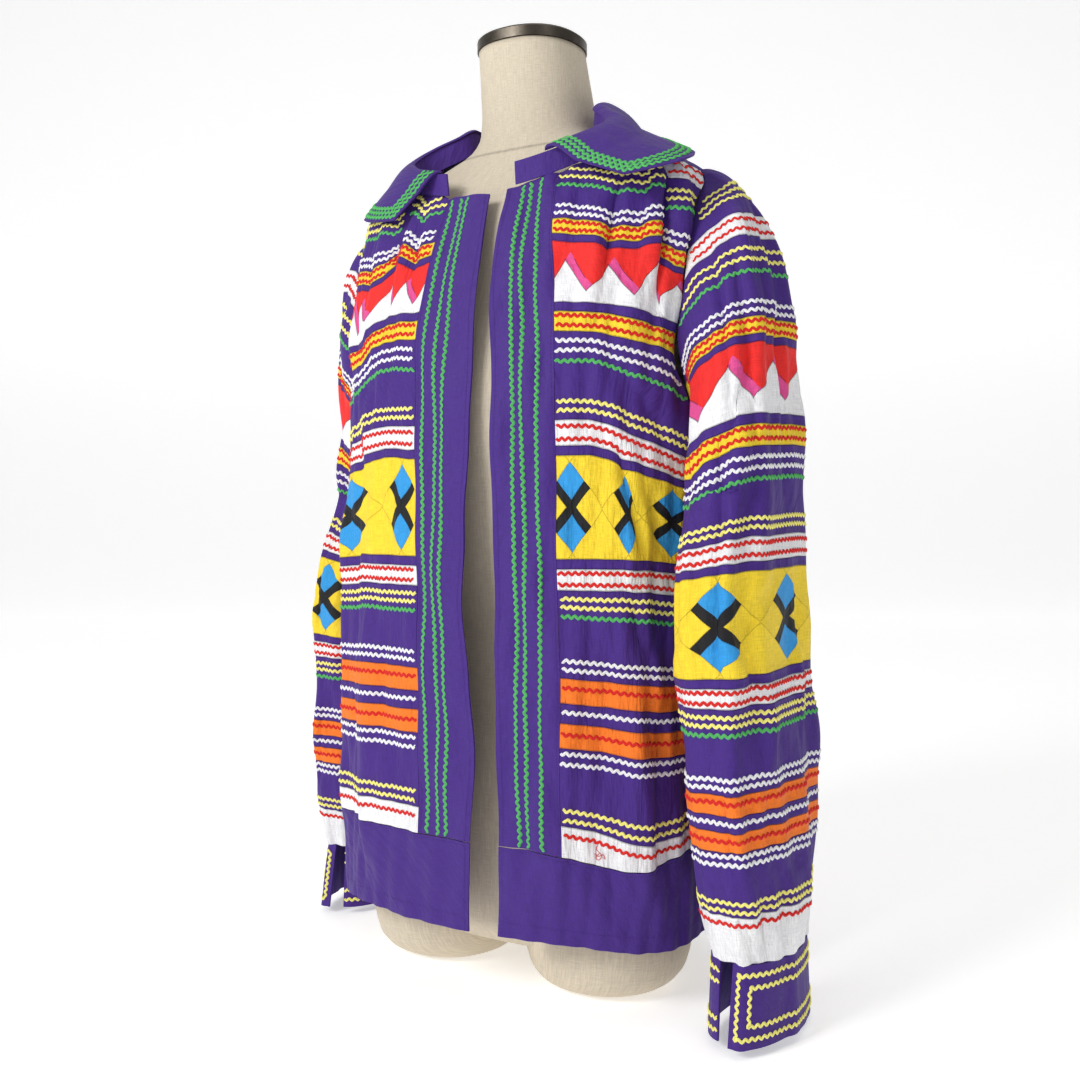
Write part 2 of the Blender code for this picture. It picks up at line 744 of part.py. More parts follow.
def build_form(linen, metal):
    """The limbless form: torso and neck, with two stumps joined to it, and the neck's cap."""
    turns = np.linspace(0.0, 2 * np.pi, FORM_SIDES, endpoint=False)[None, :]
    runs = [np.linspace(low, high, count) for low, high, count in TORSO_RUNS]
    heights = np.concatenate(runs + [[CAP_BOTTOM - SEAM_GAP]])[:, None]
    rings = form_point(turns, heights)
    base = rings[:1].copy()
    base[..., 0] *= TORSO_BASE_X
    base[..., 1] *= TORSO_BASE_Y
    base[..., 2] = TORSO_BOTTOM
    torso = closed_rings("form_torso", np.concatenate([base, rings]), linen)
    for side in (-1, 1):
        stump = build_stump(side, linen)
        join = torso.modifiers.new("stump", "BOOLEAN")
        join.operation = "UNION"
        join.object = stump
        stump.hide_render = True
        stump.display_type = "WIRE"
        bpy.context.view_layer.objects.active = torso
        torso.select_set(True)
        bpy.ops.object.modifier_apply(modifier=join.name)
        bpy.data.objects.remove(stump)
    shares = np.array(CAP_LEVELS)[:, None]
    levels = shares * CAP_THICK + CAP_BOTTOM
    radius = BODY_ROWS[-1][2] + CAP_PROUD - np.where(shares == 1.0, CAP_EDGE, 0.0)
    x, y = oval(turns, radius, radius, radius, RING_POWER)
    y = y + BODY_ROWS[-1][1]
    closed_rings("form_neck_cap", np.stack([x, y, levels + 0 * x], -1), metal)


def build_stump(side, look):
    """A short thigh: a flat foot with a rounded edge, up into the hips."""
    turns = np.linspace(0.0, 2 * np.pi, FORM_SIDES, endpoint=False)[None, :]
    levels = np.array(STUMP_LEVELS)[:, None]
    sizes = np.array(STUMP_SIZES)[:, None]
    depth = STUMP_HALF_Y * sizes
    x, y = oval(turns, STUMP_HALF_X * sizes, depth, depth, STUMP_POWER)
    x = x + side * STUMP_CENTRE_X
    y = y + STUMP_CENTRE_Y
    return closed_rings("stump", np.stack([x, y, levels + 0 * x], -1), look)


def main():
    clear_scene()
    cotton = material("plain_cotton", "cotton", COTTON_ROUGH)
    patchwork = material("patchwork_cotton", "patchwork", COTTON_ROUGH)
    linen = material("linen", "linen", LINEN_ROUGH)
    metal = material("cap_metal", "cap", CAP_ROUGH, 0.8)
    build_form(linen, metal)
    build_bands(cotton)
    build_fronts(patchwork)
    build_back(patchwork)
    build_gussets(cotton)
    build_hem(cotton)
    build_neckband(cotton)
    build_collar(cotton)
    build_sleeves(patchwork)
    build_cuffs(cotton)


main()
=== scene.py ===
"""Looks of an open-front patchwork jacket that hangs on a limbless linen dress form.

Each cut piece is a thin closed shell on the form of its solid, with finer creases. Rickrack braid
and stitches are meshes laid on the shells, and the pieced colours come from each point's place in
its cloth, kept in millimetres as the attribute "fabric".

Frame: metres, +Z up, the wearer faces -Y and the wearer's left is +X. Angles round the body run
from 0 at the front through 90 at the wearer's left side to 180 at the back. Single values are in
metres and degrees, and tables in millimetres and degrees.
"""

import math

import bpy
import numpy as np
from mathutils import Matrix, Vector


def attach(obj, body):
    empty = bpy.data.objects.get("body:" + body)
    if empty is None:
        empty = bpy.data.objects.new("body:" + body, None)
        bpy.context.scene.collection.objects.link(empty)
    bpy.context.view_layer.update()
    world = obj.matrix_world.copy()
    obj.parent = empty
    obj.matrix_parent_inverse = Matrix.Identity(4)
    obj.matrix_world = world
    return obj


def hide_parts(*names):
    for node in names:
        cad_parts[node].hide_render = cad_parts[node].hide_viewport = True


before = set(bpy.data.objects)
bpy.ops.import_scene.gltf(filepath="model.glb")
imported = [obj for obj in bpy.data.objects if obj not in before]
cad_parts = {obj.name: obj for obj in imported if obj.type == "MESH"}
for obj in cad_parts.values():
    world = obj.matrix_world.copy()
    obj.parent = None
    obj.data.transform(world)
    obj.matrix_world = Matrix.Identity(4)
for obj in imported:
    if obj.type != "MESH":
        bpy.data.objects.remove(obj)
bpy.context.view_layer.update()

MM = 1000.0
FLIP = np.array([-1.0, 1.0, 1.0])

# Sizes of the solids
WALL = 0.0016
SEAM_GAP = 0.0003
END_GAP = 0.0009
SEAT = 0.0009
RING_POWER = 2.25
SHIFT_Y = -0.0194

HEM_BOTTOM = 0.054
HEM_TOP = 0.121
HEM_FADE = 0.190
HEM_WAVE = 0.0045
HEM_WAVES = (3, 5)
NECK_SIDE = 0.676
NECK_FRONT = 0.617
NECK_TURN_DEG = 84.0

OPENING_X = 0.021
OPENING_HALF = 0.0105
BAND_WIDTH = 0.053
PINCH_LOW = 0.500
PINCH_HIGH = 0.640
PINCH = 0.24

UNDERARM = 0.415
SHOULDER_TIP = 0.636
ARMHOLE_HALF_DEG = 20.0
GUSSET_LOW = 0.375
GUSSET_HIGH = 0.525
GUSSET_HALF_DEG = 12.0

NECKBAND_HEIGHT = 0.017
COLLAR_ROLL = 0.006
COLLAR_SPREAD = 1.5
COLLAR_LEAD = 0.30
RIGHT_WING_DEG = 110.0
RIGHT_WING_OVER_DEG = 60.0
RIGHT_WING_SHORTER = 0.40
RIGHT_WING_FLATTER = 0.5
RIGHT_WING_LIFT = -0.15
COLLAR_ROLL_SHARE = 0.55
COLLAR_FALL_POWER = 1.3
NECKBAND_LIFT = 0.0018
NECKBAND_OUT = 0.0012
NECKBAND_LEAN = 0.0020
COLLAR_GAP = 5 * SEAM_GAP
COLLAR_LEFT_DEG = 18.0
COLLAR_RIGHT_DEG = 12.0
NECKBAND_FRONT_DEG = 9.5

CUFF_HEIGHT = 0.055
CUFF_FLARE = 0.07
CUFF_FREE = 0.006
CUFF_OPEN_DEG = 104.0
CUFF_GAP_DEG = 16.0
CUFF_FREE_FROM_DEG = 20.0
CUFF_FREE_OVER_DEG = 60.0
RIGHT_SLEEVE_BACK = 0.078
HEAD_OUT = 0.008
HEAD_OUT_ON_TOP = 0.034
HEAD_AHEAD = 0.012
HEAD_RISE = 0.002
HEAD_DROP = 0.012
HEAD_DROP_ON_TOP = 0.125

STUMP_CENTRE_X = 0.077
STUMP_CENTRE_Y = -0.008
STUMP_HALF_X = 0.065
STUMP_HALF_Y = 0.067
STUMP_JOIN = 0.090
STUMP_POWER = 2.1
STUMP_LEVELS = (0.0, 0.004, 0.012, 0.024, 0.040, 0.062, STUMP_JOIN)
STUMP_SIZES = (0.58, 0.74, 0.88, 0.96, 1.0, 1.0, 0.90)
TORSO_BOTTOM = 0.032
TORSO_FIRST = 0.052
TORSO_BASE_X = 0.80
TORSO_BASE_Y = 0.72
CAP_BOTTOM = 0.7500
CAP_THICK = 0.0095
CAP_PROUD = 0.0014
CAP_EDGE = 0.0016
CAP_PROFILE = ((0.0, CAP_PROUD), (CAP_THICK - CAP_EDGE, CAP_PROUD), (CAP_THICK, CAP_PROUD - CAP_EDGE))
NECK_SEAM = 0.6680
NECK_SEAM_DIP = -0.0060
NECK_SEAM_HALF = 0.0020

# Tables of the solids
BODY_COLUMNS = "height centre_y half_width front back ease_side ease_front ease_back"
BODY_ROWS = (
    (40, -4, 137, 80, 92, 23, 33, 58),
    (110, -3, 149, 86, 108, 11, 26, 42),
    (200, -2, 138, 86, 98, 22, 27, 52),
    (290, 0, 116, 82, 86, 44, 32, 62),
    (380, 0, 122, 96, 88, 38, 18, 58),
    (450, 0, 132, 104, 90, 28, 10, 50),
    (510, 2, 140, 98, 90, 19, 12, 42),
    (560, 4, 147, 86, 88, 12, 12, 30),
    (600, 6, 151, 75, 83, 7, 10, 18),
    (631, 10, 146, 66, 76, 4, 8, 6),
    (647, 13, 124, 58, 67, 0, 3, 0),
    (659, 14, 92, 53, 60, 0, 1, 0),
    (668, 14.5, 68, 49, 54, 0, 0, 0),
    (678, 13, 53, 47.5, 50, 3, 0, 3),
    (690, 11, 48.5, 46, 47, 4, 0, 4),
    (720, 5, 45, 44, 44, 0, 0, 0),
    (753, -2, 42.5, 42.5, 42.5, 0, 0, 0),
)
# Large folds: angle, half width in degrees, lowest and highest place, depth, and lean in degrees
# for each metre up.
FOLD_UNITS = (1, 1, MM, MM, MM, 1)
BODY_FOLDS = (
    (38, 7, 490, 650, 7, 0),
    (53, 7, 480, 655, 8, -10),
    (69, 7, 490, 655, 7, -15),
    (30, 9, 60, 300, 7, 20),
    (54, 8, 30, 440, 8, -35),
    (132, 15, 20, 600, 40, -10),
    (156, 9, 30, 400, 11, 15),
    (162, 9, 510, 665, 7, 10),
    (138, 9, 530, 650, 6, 20),
    (180, 10, 30, 480, 7, 0),
)
SLEEVE_POWER = 2.4
SLEEVE_COLUMNS = "height centre_x centre_y half_x half_y"
SLEEVE_ROWS = (
    (385, 196.5, -20, 29, 58),
    (310, 200, -33, 31, 71),
    (215, 205, -32, 31.5, 67),
    (140, 210, -32, 31, 63),
    (90, 213, -31, 29, 55),
    (62, 215, -30, 26, 49),
)
SLEEVE_TOP = SLEEVE_ROWS[0][0] / MM
SLEEVE_END = SLEEVE_ROWS[-1][0] / MM
SLEEVE_FOLDS = (
    (24, 11, 100, 560, 6.5, 30),
    (58, 10, 50, 480, 5.5, -40),
    (350, 10, 40, 330, 6, -45),
    (315, 11, 50, 520, 10, 35),
    (285, 10, 40, 380, 6, 20),
    (74, 9, 50, 140, 4, 0),
    (8, 9, 50, 130, 4.5, 0),
)
HEAD_FOLDS = (
    (8, 9, 480, 640, 8, 0),
    (36, 9, 470, 640, 8.5, 0),
    (330, 9, 475, 640, 8, 0),
)
COLLAR_COLUMNS = "angle reach direction fall"
COLLAR_UNITS = (1, MM, 1, MM)
COLLAR_ROWS = (
    (12, 70, 84, 30),
    (30, 80, 88, 34),
    (52, 68, 91, 37),
    (78, 52, 95, 37),
    (108, 47, 110, 36),
    (144, 45, 144, 36),
    (180, 47, 180, 36),
)

# Finer creases of the scene's cloth, each a soft ridge or trough from one place to another:
# angle and height of both ends, half width and how far it stands out. The wearer's left has
# angles over 0 on the body.
CREASE_UNITS = (1, MM, 1, MM, MM, MM)
BODY_CREASES = (
    (27, 612, 28, 556, 4, 2),
    (31, 622, 32, 535, 3.6, -2),
    (36, 630, 37, 548, 4.4, 2.4),
    (41.5, 636, 41, 525, 4, -2.4),
    (47, 642, 46, 540, 4.6, 2.2),
    (52.5, 646, 51, 505, 4.4, -2.8),
    (57.5, 646, 56.5, 520, 5, 3.6),
    (61, 646, 60.5, 520, 3.6, -3.6),
    (65, 640, 63, 470, 5, 2.4),
    (70, 632, 68, 530, 4.4, 2),
    (71.5, 600, 71.5, 440, 6, -4),
    (30, 540, 36, 470, 6, 1.2),
    (46, 500, 62, 445, 6, 2),
    (50, 480, 70, 405, 6, -2.2),
    (46, 450, 53, 405, 5, 1.8),
    (47.5, 430, 56, 330, 4.4, -4),
    (51.5, 432, 61, 325, 6, 3.6),
    (58, 400, 68, 320, 6, -2.4),
    (34, 420, 38, 345, 6, 1.2),
    (36, 335, 50, 240, 7, 2),
    (46, 345, 60, 235, 6, -2.4),
    (54, 330, 66, 200, 7, 2.8),
    (33, 255, 42, 150, 6, 1.8),
    (40, 250, 49, 135, 6, -2.2),
    (52, 235, 57, 90, 7, 2.4),
    (60, 225, 64, 75, 6, -2.4),
    (69, 240, 71, 80, 7, 2),
    (28, 185, 33, 120, 5, -1.2),
    (36, 120, 38, 62, 6, 1.6),
    (77, 420, 86, 220, 8, 2.6),
    (80, 300, 84, 120, 6, -2),
    (-13, 612, -14, 560, 4, 1.8),
    (-17, 616, -18, 530, 4, -2),
    (-22, 622, -23, 545, 4.4, 2.4),
    (-27, 628, -28, 515, 4.4, -2.6),
    (-32.5, 634, -33, 540, 5, 2.6),
    (-38, 640, -38, 480, 5, -2.8),
    (-46, 642, -45, 520, 5, 2.4),
    (-55, 644, -53, 500, 5, -2.4),
    (-14, 510, -20, 440, 6, 1.4),
    (-22, 480, -34, 400, 6, 2),
    (-16, 420, -24, 330, 6, -1.8),
    (-28, 400, -38, 290, 7, 2.4),
    (-12, 310, -17, 190, 6, 1.6),
    (-21, 300, -26, 150, 6, -2.2),
    (-29, 280, -33, 100, 7, 2.2),
    (-44, 420, -56, 250, 8, 2.2),
    (-62, 360, -66, 120, 8, -2.4),
    (-72, 600, -72, 460, 6, -3),
    (102, 410, 106, 180, 8, 2.4),
    (118, 620, 122, 480, 6, 2.4),
    (124, 560, 140, 450, 8, -2.6),
    (133, 640, 136, 540, 5, 2.2),
    (147, 648, 150, 440, 6, -2.6),
    (158, 650, 160, 560, 5, 2.4),
    (169, 652, 170, 500, 6, -2.2),
    (152, 390, 160, 200, 8, 2.6),
    (171, 340, 168, 110, 7, -2.4),
    (178, 600, 181, 420, 7, 2),
    (-112, 600, -116, 450, 7, 2.6),
    (-126, 640, -128, 500, 6, -2.4),
    (-138, 646, -141, 560, 5, 2),
    (-144, 520, -156, 400, 8, 2.6),
    (-152, 650, -153, 530, 5, -2.2),
    (-164, 650, -166, 470, 6, 2.4),
    (-134, 360, -140, 130, 8, -2.4),
    (-160, 330, -163, 90, 8, 2.6),
    (-104, 380, -108, 150, 8, 2.2),
)
SLEEVE_CREASES = (
    (62, 590, 68, 470, 5, -2.6),
    (20, 600, 26, 500, 5, 2.4),
    (350, 600, 352, 490, 5, -2.2),
    (318, 590, 320, 480, 6, 2.4),
    (18, 530, 46, 430, 5.6, 2.6),
    (30, 500, 62, 420, 5, -2.2),
    (344, 520, 0, 410, 5.6, 2.6),
    (356, 470, 20, 370, 5, -2.4),
    (40, 430, 74, 370, 6, 2.6),
    (80, 420, 62, 340, 5, -2),
    (6, 350, 36, 300, 6, 2.2),
    (16, 325, 48, 275, 5, -2.2),
    (74, 310, 40, 240, 6, 2.6),
    (56, 300, 24, 240, 5, -2),
    (330, 310, 352, 250, 6, -2.4),
    (340, 290, 6, 235, 5, 2.2),
    (20, 210, 48, 150, 6, 2),
    (6, 230, 30, 170, 5, -2),
    (76, 220, 60, 140, 5.6, 2.2),
    (300, 260, 322, 160, 6, 2.4),
    (290, 420, 310, 300, 7, -2.6),
    (92, 230, 84, 110, 5, -2),
    (100, 360, 108, 220, 6, 2.2),
    (0, 130, 6, 64, 3.6, 2),
    (17, 118, 19, 64, 3, -1.8),
    (31, 128, 30, 64, 3.6, 2.2),
    (45, 112, 44, 64, 3, -1.8),
    (59, 124, 57, 64, 3.6, 2),
    (73, 114, 71, 64, 3, -1.8),
    (88, 122, 86, 64, 3.6, 1.8),
    (342, 120, 344, 64, 3.4, -1.6),
    (322, 124, 322, 64, 3.6, 1.8),
    (240, 380, 250, 220, 7, 2.4),
    (215, 300, 205, 150, 6, -2),
    (358, 590, 353, 330, 5.6, -5),
    (352, 350, 348, 120, 5.6, -4),
    (4, 570, 1, 360, 6, 2.4),
    (0, 330, 356, 140, 6, 2),
)
CREASE_SPREAD = 0.72
CREASE_RADIUS = 0.140
SLEEVE_CREASE_RADIUS = 0.052
FOLD_SPREAD = 0.55
FOLD_ENDS = 4.0
CREASE_ENDS = 3.0
SLEEVE_HEAD_FADE = 6.0

# Small unevenness that all hung cloth has: how far, how it leans with height, where it starts,
# and how many times round each kind of piece
RIPPLE = 0.0007
RIPPLE_LEANS = (47.0, -29.0, 83.0)
RIPPLE_STARTS = (0.0, 1.3, 0.7)
BODY_WAVES = (31, 53, 17)
SLEEVE_WAVES = (9, 16, 5)

# How far the worn front edges and their seams stray outward from a plumb line
BAND_STRAYS = {
    1: (
        (60, 13, 5), (116, 13, 5), (229, 10, 4), (334, 8, 3), (407, 6, 2), (483, 4, 0),
        (560, -4, -2), (610, 0, 0),
    ),
    -1: (
        (60, -9, -14), (112, -9, -14), (161, -12, -14), (202, -14, -13), (242, -8, -12),
        (302, -2, -11), (355, -4, -10), (407, -7, -10), (483, -9, -7), (562, -5, -4), (610, 0, 0),
    ),
}
# The hem seam dips on the wearer's left: between these angles, by this much.
HEM_DIP = 0.010
HEM_DIP_FROM_DEG = 22.0
HEM_DIP_TO_DEG = 82.0
HEM_DIP_REACH = 0.050

# Colours, as sRGB values from 0 to 255
COLOURS = {
    "purple": (66, 34, 126),
    "thread": (80, 48, 142),
    "lemon": (245, 236, 130),
    "yellow": (243, 211, 48),
    "red": (234, 40, 36),
    "rick_red": (214, 32, 26),
    "pink": (222, 78, 146),
    "white": (236, 236, 238),
    "orange": (246, 122, 34),
    "blue": (46, 150, 218),
    "black": (22, 22, 26),
    "green": (84, 180, 96),
    "linen": (208, 196, 175),
    "cap": (84, 78, 70),
}
# Painted shade: the colour that the patchwork's seam ditches are darkened towards
SEAM_SHADE = (0.01, 0.008, 0.02, 1.0)

# The body's strips of cloth from the top down, as heights at the front seam. What lies between
# them is purple.
BODY_STRIPS = (
    ("white", 660, 642),
    ("yellow", 591.5, 579.9),
    ("sawtooth", 574.2, 522.1),
    ("yellow", 514.3, 497.9),
    ("white", 434.1, 416),
    ("diamonds", 409.1, 335),
    ("white", 327.7, 312.4),
    ("orange", 249.2, 231.3),
    ("orange", 216.9, 199.3),
    ("white", 141.9, 80),
)
BODY_RICKS = (
    ("lemon", 689), ("lemon", 682), ("lemon", 675), ("rick_red", 655), ("rick_red", 647),
    ("lemon", 632.8), ("lemon", 626.3), ("green", 619.4), ("white", 601.6), ("white", 595.8),
    ("rick_red", 588.6), ("rick_red", 582.9), ("rick_red", 511.2), ("rick_red", 503.2),
    ("white", 490), ("white", 482.8), ("green", 475.2), ("lemon", 447.5), ("lemon", 441),
    ("rick_red", 429.6), ("rick_red", 420.6), ("rick_red", 324.6), ("rick_red", 316.4),
    ("lemon", 306.2), ("lemon", 300), ("green", 293.2), ("white", 261.6), ("white", 255.4),
    ("rick_red", 242.4), ("white", 224.9), ("rick_red", 209), ("white", 195.5), ("white", 188),
    ("lemon", 153.6), ("lemon", 146.5), ("rick_red", 135),
)
# How much lower a row hangs than at the front seam. The first row holds angles from the middle
# of the front, and each of the others a height and the droop at those angles. The gathers and
# pleats make the steps.
LEFT_DROOPS = (
    (0, 24, 32, 40, 46, 50, 54, 59, 62, 66, 75, 82),
    (121, 0, 0, 3, 6, 9, 11, 12, 11, 10, 7, 4),
    (170, 0, 0, 3, 5, 7, 8, 9, 10, 10, 9, 8),
    (250, 0, 0, 2, 3, 4, 5, 6, 7, 8, 9, 9),
    (330, 0, 0, 0, 0, 0, 1, 1, 2, 3, 5, 6),
    (400, -1, -1, -1, 2, 8, 11, 14, 16, 18, 25, 28),
    (445, -2, -2, -2, 1, 5, 9, 12, 14, 16, 23, 26),
    (490, -4, -4, -4, 0, 2, 4, 6, 7, 9, 14, 22),
    (513, -1, -1, 0, 1, 4, 6, 8, 10, 12, 16, 25),
    (550, 4, 6, 11, 12, 12, 10, 8, 23, 30, 31, 28),
    (600, 3, 6, 13, 13, 13, 8, 8, 24, 26, 26, 30),
    (680, 3, 6, 13, 13, 12, 8, 8, 22, 24, 26, 30),
)
RIGHT_DROOPS = (
    (0, 8, 12, 18, 22, 25, 28, 31, 36, 39, 50, 60, 80),
    (121, 0, 0, 0, 0, 0, 0, 1, 2, 3, 3, 3, 3),
    (330, 0, 0, 0, 0, 0, 0, 0, 0, 2, 4, 5, 6),
    (400, -1, -1, -3, -3, -2, -1, 0, 2, 6, 10, 15, 18),
    (450, -1, -1, -2, -2, -2, -1, 0, 2, 7, 10, 15, 18),
    (495, -5, -5, -7, -7, -6, -4, -3, 0, 7, 10, 14, 18),
    (517, -3, -3, -4, -4, -4, -2, 1, 5, 15, 17, 20, 22),
    (560, 10, 10, 12, 8, 4, 10, 20, 24, 24, 20, 20, 22),
    (600, 10, 12, 17, 8, 6, 18, 23, 20, 22, 20, 20, 22),
    (680, 10, 12, 17, 8, 6, 18, 23, 20, 22, 20, 20, 22),
)
BACK_DROOPS = (
    (0, 82, 100, 117, 128, 140, 152, 165, 180),
    (121, 3, 1, 0, 2, 3, 2, 0, 0),
    (330, 6, 5, 4, 3, 2, 1, 0, 0),
    (450, 24, 22, 18, 14, 10, 8, 7, 7),
    (550, 28, 28, 26, 22, 20, 13, 12, 12),
    (680, 30, 30, 28, 26, 30, 18, 24, 16),
)
BACK_FROM_DEG = 82.0
BACK_OVER_DEG = 10.0
# The sleeve's rows are the body's, hung lower by this much at heights up from its end, and
# lower still at the front, where it reaches over the body: the share by turn, and how much.
SLEEVE_DROOPS = (
    (0, 30), (60, 37), (108, 46), (157, 60), (187, 69), (235, 71.5), (261, 73.8), (332, 77.5),
    (368, 78.5), (415, 76.5), (440, 78.5), (495, 80), (527, 77), (566, 65), (620, 58),
)
SLEEVE_FRONT_SHARES = (
    (55, 0), (80, 0.25), (95, 0.42), (105, 0.75), (125, 1), (180, 0.8),
)
SLEEVE_FRONT_DROOPS = (
    (240, 2), (330, 9), (360, 17), (400, 23), (500, 24),
)
SLEEVE_FRONT_END_DEG = 230.0
SLEEVE_FRONT_FADE_DEG = 50.0

# Where the pieced rows fall along the cloth: the length along the surface, and the place in the
# pattern. The folds swallow some of it.
LEFT_TEETH = (
    (0, 6), (10.4, 15.5), (45.7, 47.5), (82.6, 79.5), (88, 100), (101, 111.5), (132, 143.5),
)
LEFT_BLOCKS = (
    (0, -4.5), (8, 6), (30, 35), (47, 63), (54, 76), (60, 101), (91.4, 138), (126, 172),
)
RIGHT_TEETH = (
    (0, 75.5), (28, 47.5), (48, 15.5), (80, -5), (115, -48), (150, -80),
)
RIGHT_BLOCKS = (
    (0, 31), (16, 10), (40, -20), (94, -54), (110, -64), (150, -96),
)
BLOCKS_TOP = 0.430
TEETH_BOTTOM = 0.500
# On the sleeves, the width of the pattern round them, and the share of the way round that lies
# at a place in it
SLEEVE_TEETH = (193.0, 0.301, 15.5)
SLEEVE_BLOCKS = (284.0, 0.293, 10.0)
SLEEVE_BLOCKS_TOP = 0.420
SLEEVE_TEETH_BOTTOM = 0.470
EVEN_COLUMNS = 4

# The pieced rows' own sizes, in millimetres
TOOTH_PITCH = 32.0
TOOTH_VALLEY = 10.7
TOOTH_TIP_AT = 17.0
TOOTH_TIP = 38.5
TOOTH_PINK = 7.3
TOOTH_START = -1.5
DIAMOND_PITCH = 64.0
DIAMOND_START = -22.0
DIAMOND_HALF = 23.0
DIAMOND_BAR = 3.6
SOFT_SEAM = 0.4
NO_SEAM = 99.0
DITCH = 0.8
SEAM_PUCKER = 9.0

# Looks. A surface is its roughness and sheen. A grain of cloth is its width and height in
# millimetres and its detail, and a grain of braid or metal its scale and detail. A relief is how
# far a grain stands out, and how strongly.
SPECULAR = 0.32
THREAD_MM = 0.42
THREAD_LONG_MM = 9.0
WEAVE_RELIEF = (0.00022, 1.0)
WEAVE_SHADE = 1.25
PLAIN_SURFACE = (0.66, 0.06)
PLAIN_GRAIN = (14.0, 24.0, 4.0)
PLAIN_RELIEF = (0.0042, 0.8)
PATCHWORK_SURFACE = (0.70, 0.04)
PATCHWORK_GRAIN = (17.0, 40.0, 3.0)
PATCHWORK_RELIEF = (0.0060, 0.7)
PUCKER_GRAIN = (3.6, 19.0)
PUCKER_RELIEF = (0.0020, 1.0)
DARK_PUCKER = 0.4
DITCH_DEPTH = 0.55
# How strongly painted shade darkens the colour in the patchwork's seam ditches
DITCH_SHADE = 0.30
BRAID_SURFACE = (0.70, 0.04)
BRAID_GRAIN = (2600.0, 1.0)
BRAID_RELIEF = (0.00012, 0.8)
BRAID_SHADE = 0.5
LINEN_SURFACE = (0.90, 0.06)
LINEN_THREAD_MM = 0.62
LINEN_RADIUS_MM = 90.0
LINEN_CONTRAST = 1.6
LINEN_GRAIN = (0.9, 26.0, 3.0)
LINEN_RELIEF = (0.0004, 0.9)
LINEN_SHADE = 0.85
SLUB_SHARE = 0.4
# How deep the form's neck seam groove lies, and how much painted shade darkens its colour
NECK_SEAM_DEPTH_AND_SHADE = 0.45
CAP_ROUGHNESS = 0.38
CAP_METAL = 0.9
CAP_GRAIN = (180.0, 4.0)
CAP_RELIEF = (0.0003, 0.35)
CAP_SHADE = 0.8

# Rickrack: its zigzag, and where its rows start
RICK_PITCH = 0.0052
RICK_SWING = 0.00105
RICK_HALF = 0.00108
RICK_THICK = 0.00075
RICK_CLEAR = 0.00025
RICK_STEPS = 8
RICK_SHARP = 0.90
LEAST_RUN = 4
SHORTEST_BRAID = 0.0026
PLEAT_SLOPE = 0.16
BODY_TURN_STEP_DEG = 0.6
LEFT_BRAID_DEG = (15.0, 90.0)
RIGHT_BRAID_DEG = (-90.0, -5.0)
BACK_BRAID_DEG = (90.0, 270.0)
SLEEVE_BRAID_ENDS = (0.02, 1.99)
BODY_PHASE = 0.37
SLEEVE_PHASE = 0.29
EDGE_PHASE = 0.3

BAND_RICKS = {1: (0.0190, 0.0270, 0.0390), -1: (0.0250, 0.0330, 0.0450)}
COLLAR_RICKS = (0.0050, 0.0102, 0.0154)
CUFF_RICKS = (0.0068, 0.0150)

# Stitches and loose threads
STITCH_PITCH = 0.0026
STITCH_LENGTH = 0.0019
STITCH_HALF = 0.00024
STITCH_THICK = 0.00035
HEM_STITCHES = (0.0025, 0.0560)
EDGE_STITCH = 0.0040
SEAM_STITCH = 0.0022
STRAND_STEPS = 40
STRAND_HALF = 0.00022
LOOSE_THREADS = (
    ((43, 129), (42.4, 125.5), (44.2, 121.5), (43.2, 118), (42.2, 119.5), (43.6, 123.5)),
    ((41.6, 122.5), (43, 120.5), (44.6, 122.2), (45, 119)),
)

# How finely the meshes are laid. Spans are in metres, divided by the step. Grids are numbers of
# columns and rows, and lines are numbers of points.
GRID_STEP = 0.0031
FRONT_SPAN = (0.20, 0.56)
BAND_SPAN = (BAND_WIDTH, 0.50)
BACK_SPAN = (0.46, 0.56)
HEM_GRID = (280, 20)
GUSSET_GRID = (10, 44)
NECKBAND_GRID = (150, 7)
COLLAR_GRID = (170, 28)
CUFF_GRID = (120, 18)
SLEEVE_GRID = (110, 72, 112)
FORM_GRID = (112, 150)
STUMP_LINE = 40
BODY_LEVELS = 400
HEM_LINE = 900
EDGE_LINE = 60
BRAID_LINE = 260
CUFF_DOWN_LINE = 40
COLLAR_EDGE_LINE = 80
COLLAR_OUTER_LINE = 500

# Margins, powers and steps of the curves
COLLAR_BRAID_START = 0.12
COLLAR_OUTER = 0.97
COLLAR_STEP = 0.02
COLLAR_TURN = 0.01
CUFF_BRAID_START = 0.01
BACK_INSET = 0.003
DIFFERENCE = 0.0004
SEAM_RADIUS = 0.15
ARMHOLE_RADIUS = 0.11
ARMHOLE_POWER = 0.62
ARMHOLE_INSETS = 1.6
ARMHOLE_SQUARE = 0.3
GUSSET_POWER = 0.8
WIDEST_SHARE = 0.95
COLLAR_LEAD_END = 1.2
NECK_TRIES = 8
SHARP_DEG = 60.0
CAP_SHARP_DEG = 30.0
SLEEVE_EDGE = 0.01
TOP_CROWD = 1.6
NECK_CURVE = 0.8
TRIM_MARGIN = 0.002

# The camera, fitted to the photograph of 1080 by 1080 pixels
IMAGE_SIZE = 1080.0
FOCAL_PIXELS = 1250.0
CAMERA_TURN_DEG = 33.0
CAMERA_DISTANCE = 1.05
CAMERA_HEIGHT = 0.373
CAMERA_AXIS_Y = -0.009
HORIZON_ROW = 508.0
SENSOR_MM = 36.0

